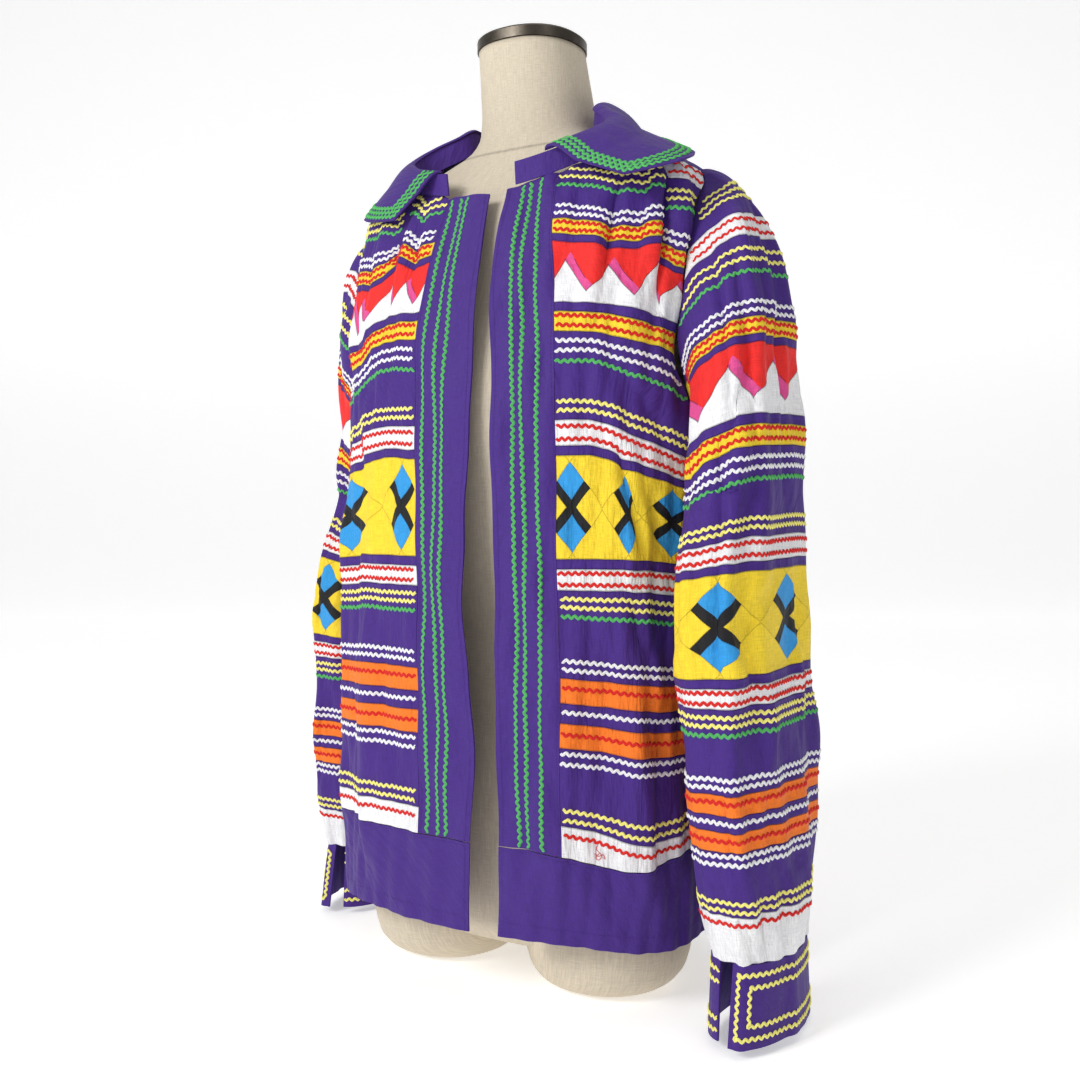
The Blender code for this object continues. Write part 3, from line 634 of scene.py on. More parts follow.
# The floor and its wall, and each lamp's place, aim, size and power
FLOOR_HALF = 6.0
FLOOR_BACK = 3.2
FLOOR_RADIUS = 1.2
FLOOR_STEPS = 16
WALL_TOP = 5.0
FLOOR_ROUGHNESS = 0.9
FLOOR_GLOW = 0.42
FLOOR_GREY = (0.93, 0.93, 0.93, 1.0)
WHITE_LIGHT = (1.0, 1.0, 1.0, 1.0)
WORLD_LIGHT = 0.30
LAMPS = {
    "key": ((-0.7, -2.3, 1.6), (0.0, 0.0, 0.36), (1.0, 0.9), 43.0),
    "fill": ((2.4, -1.2, 1.3), (0.0, 0.0, 0.35), (1.4, 1.4), 7.0),
    "top": ((0.2, 0.2, 2.8), (0.0, 0.0, 0.3), (2.0, 2.0), 12.0),
}


# Curves and rings, as in the solids


def smooth_read(known, values, wanted):
    """Values at the wanted places, on a curve with no kinks through the known ones."""
    known = np.asarray(known, float)
    values = np.asarray(values, float)
    slopes = np.gradient(values, known)
    wanted = np.clip(np.asarray(wanted, float), known[0], known[-1])
    index = np.clip(np.searchsorted(known, wanted) - 1, 0, len(known) - 2)
    span = known[index + 1] - known[index]
    t = (wanted - known[index]) / span
    start = (1 + 2 * t) * (1 - t) ** 2 * values[index]
    end = t * t * (3 - 2 * t) * values[index + 1]
    bend = t * (1 - t) ** 2 * slopes[index] - t * t * (1 - t) * slopes[index + 1]
    return start + end + bend * span


def soft_step(value):
    value = np.clip(value, 0.0, 1.0)
    return value * value * (3 - 2 * value)


def unit(vectors):
    return vectors / np.linalg.norm(vectors, axis=-1, keepdims=True)


def reader(columns, rows, units=MM):
    """A function that reads a named column at places in the table's first column."""
    table = dict(zip(columns.split(), np.transpose(np.array(sorted(rows)) / units)))
    known = table[columns.split()[0]]
    return lambda name, wanted: smooth_read(known, table[name], wanted)


body_read = reader(BODY_COLUMNS, BODY_ROWS)
sleeve_read = reader(SLEEVE_COLUMNS, SLEEVE_ROWS)
collar_read = reader(COLLAR_COLUMNS, COLLAR_ROWS, COLLAR_UNITS)


def oval(angle, half_x, front, back, power):
    side = np.sin(angle)
    fore = np.cos(angle)
    x = half_x * np.sign(side) * np.abs(side) ** (2 / power)
    depth = np.where(fore > 0, front, back)
    y = -depth * np.sign(fore) * np.abs(fore) ** (2 / power)
    return x, y


def form_point(angle, height):
    sizes = [body_read(name, height) for name in ("half_width", "front", "back")]
    x, y = oval(angle, *sizes, RING_POWER)
    return np.stack([x, y + body_read("centre_y", height), height + 0 * x], axis=-1)


def turned_from(degrees, middle):
    """How far round from a middle, the shorter way and with its sign."""
    return (degrees - middle + 180.0) % 360.0 - 180.0


def degrees_round(angle):
    """Degrees from the front, over 0 on the wearer's left."""
    return turned_from(np.degrees(angle), 0.0)


def ridge(along, ends, aside, half):
    """1 on the middle of a fold, softly 0 past its sides and both its ends."""
    window = soft_step(along * ends) * soft_step((1 - along) * ends)
    return window * np.exp(-0.5 * (aside / half) ** 2)


def fold_depth(degrees, height, folds):
    total = 0.0 * degrees
    for angle, half, low, high, depth, lean in np.array(folds) / FOLD_UNITS:
        middle = angle + lean * (height - 0.5 * (low + high))
        along = (height - low) / (high - low)
        aside = turned_from(degrees, middle)
        total = total + depth * ridge(along, FOLD_ENDS, aside, FOLD_SPREAD * half)
    return total


def crease_depth(degrees, height, creases, radius):
    """How far the fine creases stand out, measured on the cloth unrolled at this radius."""
    total = 0.0 * degrees
    for start_deg, start_h, end_deg, end_h, half, depth in np.array(creases) / CREASE_UNITS:
        way = np.array([math.radians(end_deg - start_deg) * radius, end_h - start_h])
        length = math.hypot(*way)
        x = np.radians(turned_from(degrees, start_deg)) * radius
        y = height - start_h
        along = (x * way[0] + y * way[1]) / length**2
        aside = (x * way[1] - y * way[0]) / length
        total = total + depth * ridge(along, CREASE_ENDS, aside, CREASE_SPREAD * half)
    return total


def ripple(angle, height, waves_round):
    waves = zip(waves_round, RIPPLE_LEANS, RIPPLE_STARTS)
    return RIPPLE * sum(np.sin(many * angle + lean * height + start) for many, lean, start in waves)


def jacket_size(name, ease, height):
    return body_read(name, height) + SEAT + body_read(ease, height)


def jacket_point(angle, height):
    half = jacket_size("half_width", "ease_side", height)
    front = jacket_size("front", "ease_front", height)
    back = jacket_size("back", "ease_back", height)
    x, y = oval(angle, half, front, back, RING_POWER)
    grown = 1 + fold_depth(np.abs(degrees_round(angle)), height, BODY_FOLDS) / np.hypot(x, y)
    centre_y = body_read("centre_y", height)
    return np.stack([x * grown, y * grown + centre_y, height + SEAT + 0 * x], axis=-1)


def body_surface(angle, height):
    """The inside of the jacket's body, its hem waving a little."""
    fade = np.clip((HEM_FADE - height) / (HEM_FADE - HEM_BOTTOM), 0.0, 1.0)
    first, second = HEM_WAVES
    wave = np.cos(first * angle) - 0.5 * np.cos(second * angle)
    return jacket_point(angle, height + HEM_WAVE * wave * fade)


def normals_of(surface, first, second):
    along = surface(first + DIFFERENCE, second) - surface(first - DIFFERENCE, second)
    up = surface(first, second + DIFFERENCE) - surface(first, second - DIFFERENCE)
    return unit(np.cross(along, up))


def body_cloth(angle, height):
    """The inside of the jacket's body with its fine creases."""
    raised = crease_depth(np.degrees(angle), height, BODY_CREASES, CREASE_RADIUS)
    raised = raised + ripple(angle, height, BODY_WAVES)
    normals = normals_of(body_surface, angle, height)
    return body_surface(angle, height) + normals * raised[..., None]


def outside(surface, first, second):
    """Points on the outside of a cloth whose inside is the surface, and its normals there."""
    normals = normals_of(surface, first, second)
    return surface(first, second) + normals * WALL, normals


def angle_of_x(x, height):
    half = jacket_size("half_width", "ease_side", height)
    share = np.clip(np.abs(x) / half, 0.0, WIDEST_SHARE)
    return np.sign(x) * np.arcsin(share ** (RING_POWER / 2))


def neck_height(angle):
    turned = np.abs(degrees_round(angle))
    return NECK_FRONT + (NECK_SIDE - NECK_FRONT) * soft_step(turned / NECK_TURN_DEG)


def leaf(height, low, high, power):
    """Half the width of a leaf shape, as a share of its widest."""
    along = np.clip((height - low) / (high - low), 0.0, 1.0)
    return np.sin(np.pi * along) ** power


def armhole_half(height):
    return ARMHOLE_HALF_DEG * leaf(height, UNDERARM, SHOULDER_TIP, ARMHOLE_POWER)


def side_front(height):
    return np.radians(90.0 - armhole_half(height))


def side_back(height):
    return np.radians(90.0 + armhole_half(height))


def gusset_back(height):
    half = GUSSET_HALF_DEG * leaf(height, GUSSET_LOW, GUSSET_HIGH, GUSSET_POWER)
    return np.radians(90.0 + armhole_half(height) + half)


def edge_angle(side, from_middle, height):
    pinch = 1 - PINCH * soft_step((height - PINCH_LOW) / (PINCH_HIGH - PINCH_LOW))
    levels, edge, seam = np.transpose(BAND_STRAYS[side]) / MM
    share = (from_middle - OPENING_HALF) / BAND_WIDTH
    stray = smooth_read(levels, edge + (seam - edge) * share, height)
    return angle_of_x((OPENING_X + side * (from_middle + stray)) * pinch, height)


def seam_angle(side, height):
    return edge_angle(side, OPENING_HALF + BAND_WIDTH, height)


def hem_dip(angle, height):
    """How much lower the hem seam and the cloth near it lie than a level line."""
    turned = degrees_round(angle)
    along = np.clip((turned - HEM_DIP_FROM_DEG) / (HEM_DIP_TO_DEG - HEM_DIP_FROM_DEG), 0.0, 1.0)
    near = soft_step(1 - np.abs(height - HEM_TOP) / HEM_DIP_REACH)
    return HEM_DIP * np.sin(np.pi * along) ** 2 * near


def neck_end(side, from_middle):
    height = NECK_FRONT
    for _ in range(NECK_TRIES):
        height = float(neck_height(edge_angle(side, from_middle, np.float64(height))))
    return height - 2 * SEAM_GAP


def neck_line(angle):
    return body_surface(angle, neck_height(angle))


def neck_out(angle):
    return np.stack([np.sin(angle), -np.cos(angle), 0 * angle], axis=-1)


def collar_surface(angle, across):
    """The underside of the collar: up from the neckband, over its roll and out to its edge."""
    across = np.maximum(across, 0.0)
    turned = np.degrees(angle)
    folded = np.where(turned > 180.0, 360.0 - turned, turned)
    side = np.where(turned > 180.0, -1.0, 1.0)
    lies = np.radians(collar_read("direction", folded))
    right_wing = (1 - side) / 2 * soft_step((RIGHT_WING_DEG - folded) / RIGHT_WING_OVER_DEG)
    reach = collar_read("reach", folded) * (1 - RIGHT_WING_SHORTER * right_wing)
    fall = collar_read("fall", folded) * (1 - RIGHT_WING_LIFT * right_wing)
    roll = COLLAR_ROLL * (1 - RIGHT_WING_FLATTER * right_wing)
    base = neck_line(angle) + neck_out(angle) * (NECKBAND_OUT + NECKBAND_LEAN)
    way = np.stack([side * np.sin(lies), -np.cos(lies), 0 * lies], -1)
    out = reach * across**COLLAR_SPREAD
    ahead = reach * COLLAR_LEAD * across * (COLLAR_LEAD_END - across)
    bump = roll * np.sin(np.pi * np.clip(across / COLLAR_ROLL_SHARE, 0.0, 1.0))
    foot = NECKBAND_HEIGHT + NECKBAND_LIFT + COLLAR_GAP
    point = base + way * out[..., None] + neck_out(angle) * ahead[..., None]
    point[..., 2] += foot + bump - fall * across**COLLAR_FALL_POWER
    return point


def collar_top(angle, across):
    """Points on the collar's upper side, and its normals there."""
    normals = -normals_of(collar_surface, angle, across)
    return collar_surface(angle, across) + normals * WALL, normals


def armhole_point(turn):
    middle = 0.5 * (UNDERARM + SHOULDER_TIP)
    half = 0.5 * (SHOULDER_TIP - UNDERARM)
    inset = WALL + 2 * SEAM_GAP
    height = middle + (half - ARMHOLE_INSETS * inset) * np.cos(turn)
    spread = np.maximum(np.radians(armhole_half(height)) - inset / ARMHOLE_RADIUS, 0.0)
    side = np.sin(turn)
    point = body_surface(np.pi / 2 - np.sign(side) * spread * np.abs(side) ** ARMHOLE_SQUARE, height)
    point[..., 0] += 2 * SEAM_GAP
    return point


def sleeve_centre_y(side, height):
    return sleeve_read("centre_y", height) + RIGHT_SLEEVE_BACK * (1 - side) / 2


def sleeve_oval(side, turn, height):
    depth = sleeve_read("half_y", height)
    x, y = oval(np.pi / 2 - turn, sleeve_read("half_x", height), depth, depth, SLEEVE_POWER)
    grown = 1 + fold_depth(np.degrees(turn) % 360.0, height, SLEEVE_FOLDS) / np.hypot(x, y)
    centre_x = sleeve_read("centre_x", height)
    centre_y = sleeve_centre_y(side, height)
    return np.stack([centre_x + x * grown, centre_y + y * grown, height + 0 * x], axis=-1)


def sleeve_point(side, turn, along):
    """The inside of the sleeve. Along is 0 at the armhole, 1 at the first oval, 2 at the cuff."""
    upper = np.clip(along, 0.0, 1.0)
    lower = np.clip(along - 1.0, 0.0, 1.0)
    topness = 0.5 + 0.5 * np.cos(turn)
    away = HEAD_OUT + HEAD_OUT_ON_TOP * topness
    first = armhole_point(turn)
    second = first + np.stack([away, -HEAD_AHEAD * np.sin(turn), HEAD_RISE + 0 * turn], -1)
    ring = sleeve_oval(side, turn, SLEEVE_TOP + (SLEEVE_END - SLEEVE_TOP) * lower)
    lift = HEAD_DROP + HEAD_DROP_ON_TOP * topness
    third = ring + np.stack([0 * turn, 0 * turn, lift], -1)
    share = upper[..., None]
    head = first * (1 - share) ** 3 + second * 3 * share * (1 - share) ** 2
    head = head + third * 3 * share**2 * (1 - share) + ring * share**3
    puff = fold_depth(np.degrees(turn) % 360.0, head[..., 2], HEAD_FOLDS)
    push = np.stack([np.cos(turn), -np.sin(turn), 0 * turn], -1)
    return head + push * (puff * upper * (1 - upper) * 3)[..., None]


def sleeve_normals(cloth, turn, along):
    return normals_of(cloth, turn, np.clip(along, SLEEVE_EDGE, 2 - SLEEVE_EDGE))


def sleeve_cloth(side):
    """The inside of one sleeve with its fine creases, worked out for the wearer's left."""

    def smooth(turn, along):
        return sleeve_point(side, turn, along)

    def creased(turn, along):
        point = smooth(turn, along)
        degrees = np.degrees(turn) % 360.0
        raised = crease_depth(degrees, point[..., 2], SLEEVE_CREASES, SLEEVE_CREASE_RADIUS)
        raised = raised + ripple(turn, point[..., 2], SLEEVE_WAVES)
        raised = raised * soft_step(along * SLEEVE_HEAD_FADE)
        return point + sleeve_normals(smooth, turn, along) * raised[..., None]

    return creased


def cuff_point(side, turn, rise):
    point = sleeve_oval(side, turn, SLEEVE_END + 0 * turn)
    middle = np.array([SLEEVE_ROWS[-1][1] / MM, sleeve_centre_y(side, SLEEVE_END)])
    flare = (1 + CUFF_FLARE * rise)[..., None]
    point[..., :2] = middle + (point[..., :2] - middle) * flare
    free = soft_step((np.degrees(turn) - CUFF_FREE_FROM_DEG) / CUFF_FREE_OVER_DEG)
    point[..., 1] -= CUFF_FREE * free * rise
    point[..., 2] = SLEEVE_END - END_GAP - CUFF_HEIGHT * rise
    return point


# Places in the cloth


def table_read(table, across, height):
    """A table read at the two values, level between its columns and soft between its rows."""
    rows = np.array(table[1:]) / MM
    levels = rows[:, 0]
    height = np.clip(height, levels[0], levels[-1])
    total = 0.0 * height
    for row, own in zip(rows, np.eye(len(levels))):
        weight = soft_step(np.interp(height, levels, own))
        total = total + np.interp(across, table[0][1:], row[1:]) * weight
    return total


def body_row(angle, height):
    """The height at the front seam of the cloth that hangs at this place."""
    turned = degrees_round(angle)
    folded = np.abs(turned)
    left, right, back = (
        table_read(table, folded, height) for table in (LEFT_DROOPS, RIGHT_DROOPS, BACK_DROOPS)
    )
    behind = soft_step((folded - BACK_FROM_DEG) / BACK_OVER_DEG)
    return height + np.where(turned > 0, left, right) * (1 - behind) + back * behind


def grid_read(grid, columns, rows, column, row):
    """A grid of points read between its own rows and columns."""
    across = np.interp(column, columns, np.arange(len(columns)))
    down = np.interp(row, rows, np.arange(len(rows)))
    j = np.minimum(across.astype(int), len(columns) - 2)
    i = np.minimum(down.astype(int), len(rows) - 2)
    right = (across - j)[:, None]
    low = (down - i)[:, None]
    upper = grid[i, j] * (1 - right) + grid[i, j + 1] * right
    lower = grid[i + 1, j] * (1 - right) + grid[i + 1, j + 1] * right
    return upper * (1 - low) + lower * low


def around_mean(values):
    """A grid's values evened out along its closed rows."""
    ring = values[:, :-1]
    evened = sum(np.roll(ring, k, axis=1) for k in range(-EVEN_COLUMNS, EVEN_COLUMNS + 1))
    evened = evened / (2 * EVEN_COLUMNS + 1)
    return np.concatenate([evened, evened[:, :1]], axis=1)


def read_mm(table, wanted):
    """A table of two columns in millimetres, read and answered in metres."""
    known, values = np.transpose(table) / MM
    return np.interp(wanted, known, values)


def sleeve_rows(points, turns):
    """The cloth's height at the front seam for a grid of the sleeve."""
    lengths = np.linalg.norm(np.diff(points, axis=0), axis=-1)
    below = np.cumsum(lengths[::-1], axis=0)[::-1]
    below = SLEEVE_END + around_mean(np.concatenate([below, 0 * below[:1]]))
    degrees = np.degrees(turns) % 360.0
    share = np.interp(degrees, *np.transpose(SLEEVE_FRONT_SHARES))
    share = share * soft_step((SLEEVE_FRONT_END_DEG - degrees) / SLEEVE_FRONT_FADE_DEG)
    lower = read_mm(SLEEVE_DROOPS, below) + share * read_mm(SLEEVE_FRONT_DROOPS, below)
    return below + around_mean(lower)


def row_lengths(points):
    """How far each point lies along its row, in metres."""
    steps = np.linalg.norm(np.diff(points, axis=1), axis=-1)
    return np.concatenate([0 * steps[:, :1], np.cumsum(steps, axis=1)], axis=1)


def pattern_place(length, row, teeth, blocks):
    """The place along the body's pattern, in metres, by the table of the row that is near."""
    share = soft_step((row - BLOCKS_TOP) / (TEETH_BOTTOM - BLOCKS_TOP))
    upper = read_mm(teeth, length)
    lower = read_mm(blocks, length)
    return lower + (upper - lower) * share


def sleeve_place(share, row):
    """The place along the sleeve's pattern, in metres, at this share of the way round it."""
    blend = soft_step((row - SLEEVE_BLOCKS_TOP) / (SLEEVE_TEETH_BOTTOM - SLEEVE_BLOCKS_TOP))
    upper, lower = (
        width * (share - start) + first for width, start, first in (SLEEVE_TEETH, SLEEVE_BLOCKS)
    )
    return (lower + (upper - lower) * blend) / MM


# Meshes


def link_mesh(name, points, faces, materials):
    """A smooth-shaded mesh in the scene."""
    mesh = bpy.data.meshes.new(name)
    mesh.from_pydata((np.asarray(points) + [0.0, SHIFT_Y, 0.0]).tolist(), [], faces)
    mesh.shade_smooth()
    for material in materials:
        mesh.materials.append(material)
    thing = bpy.data.objects.new(name, mesh)
    bpy.context.scene.collection.objects.link(thing)
    return thing


def strip_faces(rows, columns, start=0, turned=True):
    """Quads of a grid of points, as indexes of a flat list."""
    i, j = np.meshgrid(np.arange(rows - 1), np.arange(columns - 1), indexing="ij")
    a = start + i * columns + j
    quads = np.stack([a, a + 1, a + columns + 1, a + columns], axis=-1).reshape(-1, 4)
    return quads[:, ::-1] if turned else quads


def shell(name, inner, normals, row, length, material, closed=False):
    """A thin closed wall on a grid of inner points, its place in the cloth kept at each corner."""
    rows, columns = inner.shape[:2]
    count = rows * columns
    points = np.concatenate([inner.reshape(-1, 3), (inner + normals * WALL).reshape(-1, 3)])
    place = np.stack([length * MM, row * MM, 0 * row], axis=-1).reshape(-1, 3)
    ends = np.arange(columns)
    sides = np.arange(rows) * columns
    rims = [ends, (ends + (rows - 1) * columns)[::-1]]
    if not closed:
        rims += [sides[::-1], sides + columns - 1]
    parts = [strip_faces(rows, columns, count, False), strip_faces(rows, columns)]
    for rim in rims:
        parts.append(np.stack([rim[:-1], rim[1:], rim[1:] + count, rim[:-1] + count], -1))
    faces = np.concatenate(parts)
    fabric = np.concatenate([place, place])[faces.reshape(-1)]
    if closed:
        merged = np.arange(2 * count).reshape(2, rows, columns)
        merged[:, :, -1] = merged[:, :, 0]
        kept, faces = np.unique(merged.reshape(-1)[faces], return_inverse=True)
        faces = faces.reshape(-1, 4)
        points = points[kept]
    thing = link_mesh(name, points, faces.tolist(), [material])
    thing.data.set_sharp_from_angle(angle=math.radians(SHARP_DEG))
    layer = thing.data.attributes.new("fabric", "FLOAT_VECTOR", "CORNER")
    layer.data.foreach_set("vector", fabric.astype(np.float32).reshape(-1))
    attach(thing, "root")
    return thing


def other_side(grids):
    """The grids of the wearer's left, turned into those of the right."""
    return [(grid * FLIP if grid.ndim == 3 else grid)[:, ::-1] for grid in grids]


def lengths_along(points):
    steps = np.linalg.norm(np.diff(points, axis=0), axis=-1)
    return np.concatenate([[0.0], np.cumsum(steps)])


def resampled(points, normals, step):
    """Points an equal step apart along a line, with its normals."""
    along = lengths_along(points)
    wanted = np.arange(0.0, along[-1], step)
    made, turned = (
        np.stack([np.interp(wanted, along, values[:, k]) for k in range(3)], -1)
        for values in (points, normals)
    )
    return made, unit(turned)


class Braid:
    """Gathers lines of rickrack and stitches, and makes them one mesh, a material to a colour."""

    def __init__(self, kind="rickrack"):
        self.kind = kind
        self.points = []
        self.faces = []
        self.looks = []
        self.count = 0
        self.colours = []

    def keep(self, points, faces, colour):
        if colour not in self.colours:
            self.colours.append(colour)
        self.points.append(points.reshape(-1, 3))
        self.faces.extend((faces + self.count).tolist())
        self.looks.extend([self.colours.index(colour)] * len(faces))
        self.count += len(self.points[-1])

    def keep_strip(self, path, side, normals, thick, colour):
        """A strip just clear of a path on the cloth, with a raised middle."""
        low = path + normals * RICK_CLEAR
        grid = np.stack([low - side, low + normals * thick, low + side], axis=1)
        self.keep(grid, strip_faces(len(path), 3), colour)

    def add(self, line, normals, colour, phase):
        """A zigzag braid on a line of the cloth's surface, a little domed and pressed on."""
        if lengths_along(line)[-1] < SHORTEST_BRAID:
            return
        centre, normals = resampled(line, normals, RICK_PITCH / RICK_STEPS)
        across = unit(np.cross(normals, np.gradient(centre, axis=0)))
        turn = 2 * np.pi * (np.arange(len(centre)) / RICK_STEPS + phase)
        swing = np.arcsin(RICK_SHARP * np.sin(turn)) / math.asin(RICK_SHARP)
        path = centre + across * (RICK_SWING * swing)[:, None]
        side = unit(np.cross(normals, np.gradient(path, axis=0))) * RICK_HALF
        self.keep_strip(path, side, normals, RICK_THICK, colour)

    def sew(self, angles, heights):
        """A line of small raised stitches on the body."""
        centre, normals = resampled(*outside(body_cloth, angles, heights), STITCH_PITCH)
        way = unit(np.gradient(centre, axis=0)) * STITCH_LENGTH / 2
        side = unit(np.cross(normals, way)) * STITCH_HALF
        low = centre + normals * RICK_CLEAR
        corners = [low - way, low + side, low + way, low - side, low + normals * STITCH_THICK]
        faces = np.array([(0, 1, 4), (1, 2, 4), (2, 3, 4), (3, 0, 4)])[:, ::-1]
        number = np.arange(len(centre))[:, None, None] * len(corners)
        self.keep(np.stack(corners, axis=1), (faces + number).reshape(-1, 3), "thread")

    def lay_strand(self, places):
        """A loose end of thread through places on the body, each an angle and a height."""
        fine = np.linspace(0, len(places) - 1, STRAND_STEPS)
        degrees, heights = (
            smooth_read(np.arange(len(places)), values, fine) for values in np.transpose(places)
        )
        centre, normals = outside(body_cloth, np.radians(degrees), heights / MM)
        side = unit(np.cross(normals, np.gradient(centre, axis=0))) * STRAND_HALF
        self.keep_strip(centre, side, normals, 2 * STRAND_HALF, "rick_red")

    def make(self, node):
        name = node + "_" + self.kind
        looks = [RICK_LOOKS[colour] for colour in self.colours]
        piece = link_mesh(name, np.concatenate(self.points), self.faces, looks)
        piece.data.set_sharp_from_angle(angle=math.radians(SHARP_DEG))
        piece.data.polygons.foreach_set("material_index", np.array(self.looks, np.int32))
        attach(piece, "root")
        return piece


def runs_of(flags):
    """The first and last index of each unbroken run of true flags that is long enough."""
    change = np.diff(np.concatenate([[False], flags, [False]]).astype(int))
    runs = zip(np.flatnonzero(change == 1), np.flatnonzero(change == -1))
    return [(low, high) for low, high in runs if high - low >= LEAST_RUN]


# Materials


def sign(operation):
    """A method that joins a value to others, or to numbers, by a math node."""
    return lambda value, *others: value.graph.math(operation, value, *others)


class Value:
    """A value in a material's graph, which Python's own signs join to others and to numbers."""

    def __init__(self, graph, socket):
        self.graph = graph
        self.socket = socket

    __add__ = sign("ADD")
    __sub__ = sign("SUBTRACT")
    __mul__ = sign("MULTIPLY")
    __truediv__ = sign("DIVIDE")
    __mod__ = sign("FLOORED_MODULO")
    __lt__ = sign("LESS_THAN")
    __gt__ = sign("GREATER_THAN")
    __abs__ = sign("ABSOLUTE")
    least = sign("MINIMUM")
    most = sign("MAXIMUM")

    def __rsub__(self, other):
        return self.graph.math("SUBTRACT", other, self)

    def near_zero(self, reach):
        """1 where the value is 0, down to 0 at this reach."""
        return 1.0 - (self / reach).least(1.0)


class Graph:
    """Short calls that build a material's nodes."""

    def __init__(self, name, roughness, sheen=0.0):
        self.material = bpy.data.materials.new(name)
        self.material.use_nodes = True
        self.nodes = self.material.node_tree.nodes
        self.shader = self.nodes["Principled BSDF"].inputs
        self.shader["Roughness"].default_value = roughness
        self.shader["Sheen Weight"].default_value = sheen

    def feed(self, socket, value):
        if isinstance(value, Value):
            self.material.node_tree.links.new(value.socket, socket)
        else:
            socket.default_value = value

    def node(self, kind, inputs, output=0, **settings):
        """One output of a new node, with its settings made and its inputs fed."""
        made = self.nodes.new("ShaderNode" + kind)
        for name, setting in settings.items():
            setattr(made, name, setting)
        for key, value in inputs.items():
            self.feed(made.inputs[key], value)
        return Value(self, made.outputs[output])

    def math(self, operation, *values):
        return self.node("Math", dict(enumerate(values)), operation=operation)

    def mix(self, share, first, second, blend="MIX"):
        """Two colours mixed, by the node's colour inputs 6 and 7 and its colour output 2."""
        inputs = {0: share, 6: first, 7: second}
        return self.node("Mix", inputs, 2, data_type="RGBA", blend_type=blend)

    def noise(self, vector, scale, detail=2.0):
        return self.node("TexNoise", {"Vector": vector, "Scale": scale, "Detail": detail}, "Fac")

    def stretched(self, across, up, across_mm, up_mm, detail=2.0):
        """Noise of these sizes along the rows and up."""
        vector = self.node("CombineXYZ", {0: across / across_mm, 1: up / up_mm})
        return self.noise(vector, 1.0, detail)

    def split(self, vector):
        made = self.node("SeparateXYZ", {0: vector}).socket.node
        return [Value(self, socket) for socket in made.outputs]

    def fabric(self):
        """The place in the cloth: along its rows and up, in millimetres."""
        kept = {"attribute_type": "GEOMETRY", "attribute_name": "fabric"}
        return self.split(self.node("Attribute", {}, "Vector", **kept))[:2]

    def place(self):
        return self.node("TexCoord", {}, "Object")

    def bump(self, height, relief, under=None):
        inputs = {"Height": height, "Distance": relief[0], "Strength": relief[1]}
        if under is not None:
            inputs["Normal"] = under
        return self.node("Bump", inputs)

    def woven(self, across, up, thread_mm=THREAD_MM):
        """The height of threads with slubs, both ways."""
        warp = self.stretched(across, up, thread_mm, THREAD_LONG_MM)
        weft = self.stretched(across, up, THREAD_LONG_MM, thread_mm)
        return warp * 0.5 + weft * 0.5

    def shaded(self, colour, weave, amount):
        """The colour, a little lighter and darker with the threads."""
        share = (weave - 0.5) * amount + 1.0
        grey = self.node("CombineColor", {0: share, 1: share, 2: share})
        return self.mix(1.0, colour, grey, "MULTIPLY")

    def finish(self, colour, normal):
        self.feed(self.shader["Base Color"], colour)
        self.feed(self.shader["Normal"], normal)
        self.shader["Sheen Roughness"].default_value = 0.5
        self.shader["Specular IOR Level"].default_value = SPECULAR
        return self.material


def linear(name):
    """A named colour as the renderer's linear value, by the numbers of the sRGB standard."""
    parts = []
    for value in COLOURS[name]:
        share = value / 255.0
        parts.append(share / 12.92 if share <= 0.04045 else ((share + 0.055) / 1.055) ** 2.4)
    return (*parts, 1.0)


def plain_material(name, colour):
    graph = Graph(name, *PLAIN_SURFACE)
    across, up = graph.fabric()
    weave = graph.woven(across, up)
    soft = graph.bump(graph.stretched(across, up, *PLAIN_GRAIN), PLAIN_RELIEF)
    normal = graph.bump(weave, WEAVE_RELIEF, soft)
    return graph.finish(graph.shaded(linear(colour), weave, WEAVE_SHADE), normal)


def sawtooth(graph, across, up):
    """Teeth of white on red with a pink strip down one slope: the colour, and its seams."""
    x = (across - TOOTH_START) % TOOTH_PITCH
    left_slope = (TOOTH_TIP - TOOTH_VALLEY) / TOOTH_TIP_AT
    right_slope = (TOOTH_TIP - TOOTH_VALLEY) / (TOOTH_PITCH - TOOTH_TIP_AT)
    left = up - TOOTH_VALLEY - x * left_slope
    right = up + (x * right_slope - (TOOTH_TIP + TOOTH_TIP_AT * right_slope))
    right_far = right - TOOTH_PINK * right_slope
    before_far = right + TOOTH_PITCH * right_slope - TOOTH_PINK * right_slope
    white = (left < 0.0) * (right < 0.0)
    own = (right > 0.0) * (right_far < 0.0) * (left < 0.0)
    last = (before_far < 0.0) * (left > 0.0)
    colour = graph.mix(white, linear("red"), linear("white"))
    colour = graph.mix(own.most(last), colour, linear("pink"))
    seam = abs(left).least(abs(right)).least(abs(right_far))
    return colour, seam + (up > TOOTH_TIP + 1.0) * NO_SEAM


def diamonds(graph, across, up, middle):
    """Blocks on point, each a black cross with blue and yellow squares, on yellow."""
    x = (across - DIAMOND_START) % DIAMOND_PITCH - DIAMOND_PITCH / 2
    y = up - middle
    half_root = math.sqrt(0.5)
    first = (x + y) * half_root
    second = (x - y) * half_root
    far_first = abs(first)
    far_second = abs(second)
    inside = far_first.most(far_second) < DIAMOND_HALF
    near = far_first.least(far_second)
    colour = graph.mix(inside * (first * second < 0.0), linear("yellow"), linear("blue"))
    colour = graph.mix(inside * (near < DIAMOND_BAR), colour, linear("black"))
    seam = abs(far_first - DIAMOND_HALF).least(abs(far_second - DIAMOND_HALF))
    cross = abs(near - DIAMOND_BAR) + (1.0 - inside) * NO_SEAM
    return colour, seam.least(cross) + SOFT_SEAM


